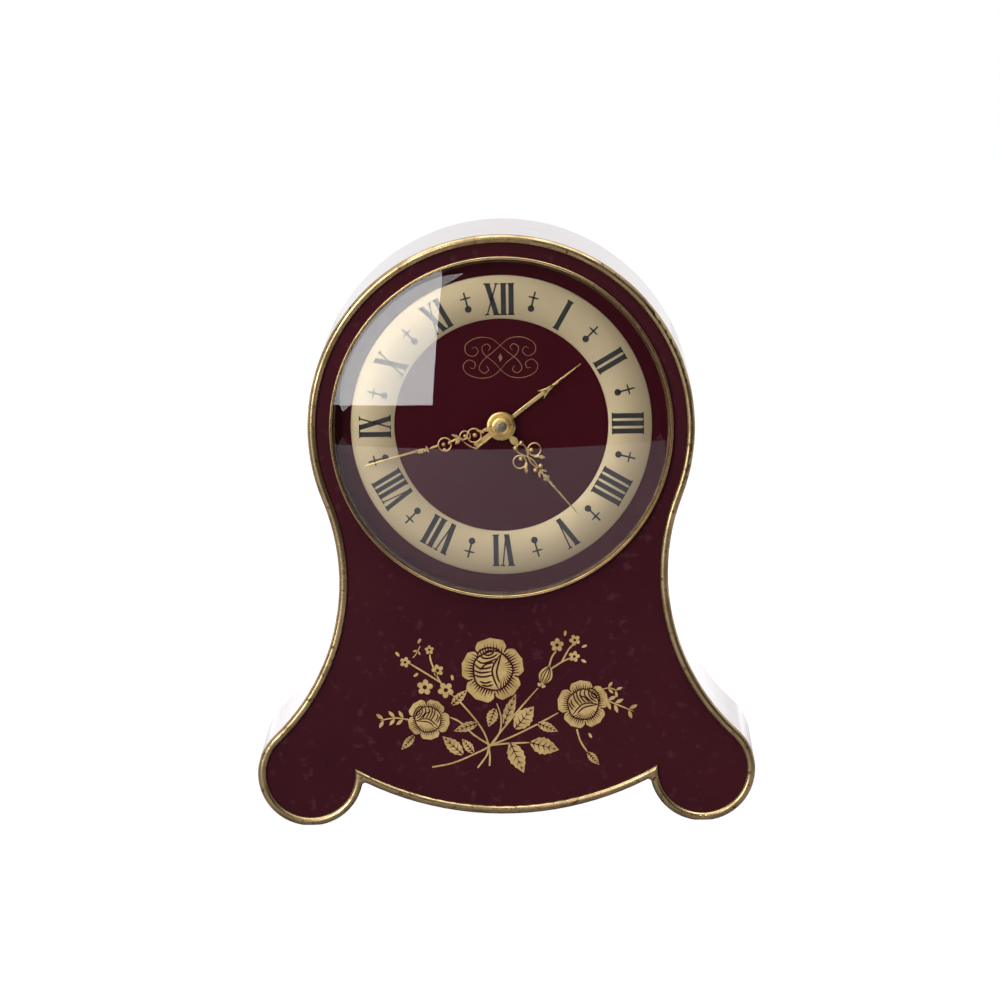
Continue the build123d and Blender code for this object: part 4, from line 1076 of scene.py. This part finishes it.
for root, tip, width in (
    ((-2.6, 29.4), (-4.4, 24.6), 2.8), ((2.2, 23.9), (7.2, 29.7), 4.4),
    ((6.0, 20.4), (13.4, 18.4), 4.3), ((1.0, 20.6), (4.4, 12.6), 4.2),
    ((-10.9, 17.4), (-16.1, 22.3), 3.2), ((-8.2, 17.8), (-11.2, 21.6), 2.2),
    ((-7.0, 25.6), (-13.2, 23.6), 2.4), ((7.9, 25.4), (13.2, 23.2), 2.4),
    ((-0.6, 25.0), (2.7, 33.0), 2.6), ((-13.8, 30.2), (-9.6, 34.2), 2.2),
    ((-23.2, 22.7), (-26.6, 19.0), 2.0), ((20.6, 17.8), (23.6, 14.4), 2.0),
):
    added(veined_leaf(root, tip, width))
for centre, radius, turn in (
    ((-20.4, 35.0), 2.0, 10), ((-15.1, 34.2), 2.0, 50), ((-17.1, 39.3), 1.5, 30), ((-25.3, 41.5), 1.35, 0),
    ((-19.1, 44.6), 1.15, 20), ((13.3, 45.4), 1.7, 15), ((17.8, 46.6), 1.4, 40), ((17.6, 42.4), 1.4, 5),
):
    added(blossom(centre, radius, turn))
added(rose((-3.1, 39.0), 8.1, 4, 1, 18))
added(rose((-19.7, 26.7), 5.3, 64, -1, 40))
added(rose((19.7, 30.0), 6.3, -58, 1, 10))
added(bud((10.3, 37.6), 5.4, 3.4, -24))
added(twig([(24.6, 31.5), (27.6, 30.2), (32.5, 28.1)], 0.34, (0.3, 0.6, 0.95), 2.6))
added(twig([(23.8, 33.6), (26.4, 34.2), (28.4, 33.4)], 0.3, (0.5, 0.95), 2.0))
added(twig([(-24.2, 26.6), (-28.0, 27.2), (-31.9, 26.6)], 0.34, (0.3, 0.6, 0.95), 2.5))
added(twig([(-21.4, 45.6), (-22.6, 43.4), (-23.4, 42.6)], 0.26, (0.3,), 1.4))
for place, angle in (((-22.6, 38.2), 40), ((-13.4, 37.4), 100), ((-21.6, 46.9), 60), ((-27.2, 43.6), 130),
                     ((15.4, 48.4), 80), ((20.2, 45.0), 20), ((20.0, 41.2), -30), ((21.4, 22.0), -60)):
    spray.append(oval(place, 0.75, 0.36, angle))
gold_proud, line_proud = 0.03, 0.065
rose_spray = printed("rose_spray_print", spray, 0.0, gold_proud, True)
rose_lines = printed("rose_spray_lines", engraving, 0.0, line_proud, True)
fitted(rose_spray, gold_print, "case", "lacquer")
fitted(rose_lines, panel_lacquer, "case", "lacquer")
print("gold shapes", len(spray), "lines", len(engraving), "faces", len(rose_spray.data.polygons))

# %% [markdown]
# The dial carries a small penwork scroll above the centre. It is symmetrical: four strokes with curled
# ends on the right, mirrored on the left, and a lozenge between them.

# %% Penwork scroll
dial_face, pen_proud = 5.9, 0.02
scroll_strokes = (
    [(0, 20.2), (2.4, 22.0), (5.8, 22.2), (8.6, 20.6), (8.7, 18.4), (6.9, 17.5), (5.6, 18.6), (6.2, 19.8),
     (7.2, 19.4)],
    [(0, 14.0), (2.4, 12.3), (5.6, 12.0), (8.6, 13.2), (9.4, 15.2), (8.0, 16.6), (6.4, 15.8), (6.7, 14.5),
     (7.7, 14.6)],
    [(0, 20.2), (1.8, 18.6), (4.4, 16.4), (5.4, 14.4), (4.2, 13.2), (3.0, 14.0), (3.6, 15.1)],
    [(0, 14.0), (1.6, 15.9), (4.0, 17.9), (4.6, 19.7), (3.4, 20.6), (2.5, 19.8), (3.0, 19.0)],
)
scroll = [ribbon(smooth_path([(side * x, z) for x, z in stroke_path]), 0.17, 0.5, 0.5)
          for stroke_path in scroll_strokes for side in (-1, 1)]
scroll.append([(0, 16.0), (0.5, 17.1), (0, 18.2), (-0.5, 17.1)])
penwork = printed("penwork_scroll_print", scroll, dial_face, pen_proud, False)
fitted(penwork, pen_gold, "case", "dial_lacquer")
print("penwork shapes", len(scroll))

# %% [markdown]
# The band, the cover and the small pieces at the back were pressed, turned and polished, so none of their
# edges is sharp. Their solids have the right shape but hard edges. A copy of each is merged, its flat faces
# are made whole, and a narrow bevel rounds its edges, with shading that keeps the flat faces flat. The copy
# then stands for the solid on the same body.

# %% Ease the edges
bodies_of = {name: body for body, names in frame["record"]["behaviour"]["bodies"].items() for name in names}


def eased(node_name, name, material, slot, width):
    """A merged copy of a solid with its hard edges rounded, riding where the solid rides."""
    piece = bpy.data.objects.new(name, nodes[node_name].data.copy())
    bpy.context.scene.collection.objects.link(piece)
    closed_up(piece)
    edit_all()
    bpy.ops.mesh.dissolve_limited(angle_limit=radians(0.5))
    bpy.ops.object.mode_set(mode="OBJECT")
    softened(piece, width)
    flat_faces = piece.modifiers.new("flat faces", "WEIGHTED_NORMAL")
    flat_faces.keep_sharp = True
    bpy.ops.object.modifier_apply(modifier=flat_faces.name)
    return fitted(piece, material, bodies_of[node_name], slot, node_name)


for node_name, name, material, slot, width in (
    ("case_band", "case_band_lacquered", band_lacquer, "lacquer", 0.25),
    ("back_cover", "back_cover_pressed", cover_brass, "cover_brass", 0.3),
    ("cover_screws", "cover_screws_polished", steel, "screw_steel", 0.15),
    ("hand_set_knob", "hand_set_knob_turned", key_brass, "key_brass", 0.2),
    ("alarm_set_knob", "alarm_set_knob_turned", key_brass, "key_brass", 0.2),
    ("time_key_hub", "time_key_hub_turned", key_brass, "key_brass", 0.25),
    ("alarm_key_hub", "alarm_key_hub_turned", key_brass, "key_brass", 0.25),
    ("time_key_wing", "time_key_wing_polished", key_brass, "key_brass", 0.3),
    ("alarm_key_wing", "alarm_key_wing_polished", key_brass, "key_brass", 0.3),
    ("regulator_lever", "regulator_lever_polished", steel, "steel", 0.1),
    ("stop_slide", "stop_slide_polished", steel, "steel", 0.15),
):
    piece = eased(node_name, name, material, slot, width)
    print(name, len(piece.data.polygons))

# %% [markdown]
# The studio: a white table that ends a short way in front of the clock, a soft box to the upper left whose
# edge shows in the glass, a broad light overhead, and a pale wall all round. To the camera the table and
# the surroundings are nearly plain white. Reflections and light see a table with painted shade, grey near
# the clock and pale further back, and surroundings that are white only behind and above the clock.

# %% Table
table_front, table_back, table_half, table_gap = -0.565, 1.6, 1.6, 0.0002
glow_share = 0.86
fresh()
bpy.ops.mesh.primitive_plane_add(size=1, location=(0, (table_front + table_back) / 2, -table_gap))
table = bpy.context.active_object
table.name = "table_top"
table.scale = (2 * table_half, table_back - table_front, 1)
bpy.ops.object.transform_apply(location=True, rotation=True, scale=True)
table_white, table_tree, table_shader = finish("table white", Roughness=0.8)
table_place = node(table_tree, "TexCoord")
table_split = node(table_tree, "SeparateXYZ")
# Painted shade: the table is grey near the clock and pale further back to reflections and bounced light,
# while the camera sees it white.
table_shade_reach = node(table_tree, "MapRange", From_Min=0.03, From_Max=0.25)
table_shade_colour = blended(table_tree, table_shade_reach.outputs["Result"], (0.27, 0.25, 0.28), (0.80, 0.79, 0.80))
table_glow = node(table_tree, "Emission", Strength=1.16)
table_ray = node(table_tree, "LightPath")
table_share = node(table_tree, "Math")
table_share.operation = "MULTIPLY"
table_share.inputs[1].default_value = glow_share
table_mix = node(table_tree, "MixShader")
linked(
    table_tree,
    (table_place.outputs["Object"], table_split.inputs["Vector"]),
    (table_split.outputs["Y"], table_shade_reach.inputs["Value"]),
    (table_shade_colour, table_shader.inputs["Base Color"]),
    (table_ray.outputs["Is Camera Ray"], table_share.inputs[0]),
    (table_share.outputs["Value"], table_mix.inputs["Fac"]),
    (table_shader.outputs["BSDF"], table_mix.inputs[1]),
    (table_glow.outputs["Emission"], table_mix.inputs[2]),
    (table_mix.outputs["Shader"], table_tree.nodes["Material Output"].inputs["Surface"]),
)
table.data.materials.append(table_white)
print("table from", table_front, "to", table_back)

# %% Surroundings
world = bpy.data.worlds.new("studio")
bpy.context.scene.world = world
world.use_nodes = True
world_tree = world.node_tree
background = world_tree.nodes["Background"]
direction = node(world_tree, "TexCoord")
split = node(world_tree, "SeparateXYZ")
world_ray = node(world_tree, "LightPath")
behind = node(world_tree, "MapRange", From_Min=-0.35, From_Max=0.05, To_Min=0.015, To_Max=0.95)
above = node(world_tree, "MapRange", From_Min=0.45, From_Max=0.85, To_Max=1.2)
brightest = node(world_tree, "Math")
brightest.operation = "MAXIMUM"
for_camera = node(world_tree, "Mix", B=1.0)
linked(
    world_tree,
    (direction.outputs["Generated"], split.inputs["Vector"]),
    (split.outputs["Y"], behind.inputs["Value"]),
    (split.outputs["Z"], above.inputs["Value"]),
    (behind.outputs["Result"], brightest.inputs[0]),
    (above.outputs["Result"], brightest.inputs[1]),
    (world_ray.outputs["Is Camera Ray"], for_camera.inputs["Factor"]),
    (brightest.outputs["Value"], for_camera.inputs["A"]),
    (for_camera.outputs["Result"], background.inputs["Strength"]),
)
background.inputs["Color"].default_value = (1, 1, 1, 1)
print("surroundings ready")

# %% Lights
def soft_box(name, place, aim, size, power):
    """A rectangular light that faces a point."""
    fresh()
    bpy.ops.object.light_add(type="AREA", location=place)
    lamp = bpy.context.active_object
    lamp.name = name
    lamp.rotation_euler = (Vector(aim) - Vector(place)).to_track_quat("-Z", "Y").to_euler()
    lamp.data.shape = "RECTANGLE"
    lamp.data.size, lamp.data.size_y = size
    lamp.data.energy = power
    return lamp


soft_box("left_box", place=(-0.605, -1.2, 0.452), aim=(0, 0, 0.10), size=(0.80, 0.89), power=13.4)
soft_box("overhead_box", place=(0, -0.15, 1.1), aim=(0, 0, 0.05), size=(1.3, 1.1), power=11.0)

# %% [markdown]
# The camera stands a metre and a half away, a little above the clock and just to its right, with a long
# lens. These values come from fitting the case outline to the photograph.

# %% Camera
camera_height, camera_side, camera_roll = 8.39, 0.66, -0.89
camera_distance, target_height = 1.503, 0.070
target = Vector((0, face_y, target_height))
bpy.ops.object.camera_add()
camera = bpy.context.active_object
rise, side_turn = radians(camera_height), radians(camera_side)
towards = Vector((sin(side_turn) * cos(rise), -cos(side_turn) * cos(rise), sin(rise)))
camera.location = target + camera_distance * towards
look = (-towards).to_track_quat("-Z", "Y").to_matrix().to_4x4()
roll = Matrix.Rotation(radians(camera_roll), 4, "Z")
camera.matrix_world = Matrix.Translation(camera.location) @ look @ roll
camera.data.lens = 214.0
camera.data.sensor_width = 36.0
camera.data.shift_x = -0.0031
camera.data.shift_y = 0.0497
camera.data.clip_end = 20
bpy.context.scene.camera = camera
bpy.context.scene.view_settings.view_transform = "Standard"
print("camera at", [round(c, 3) for c in camera.location])
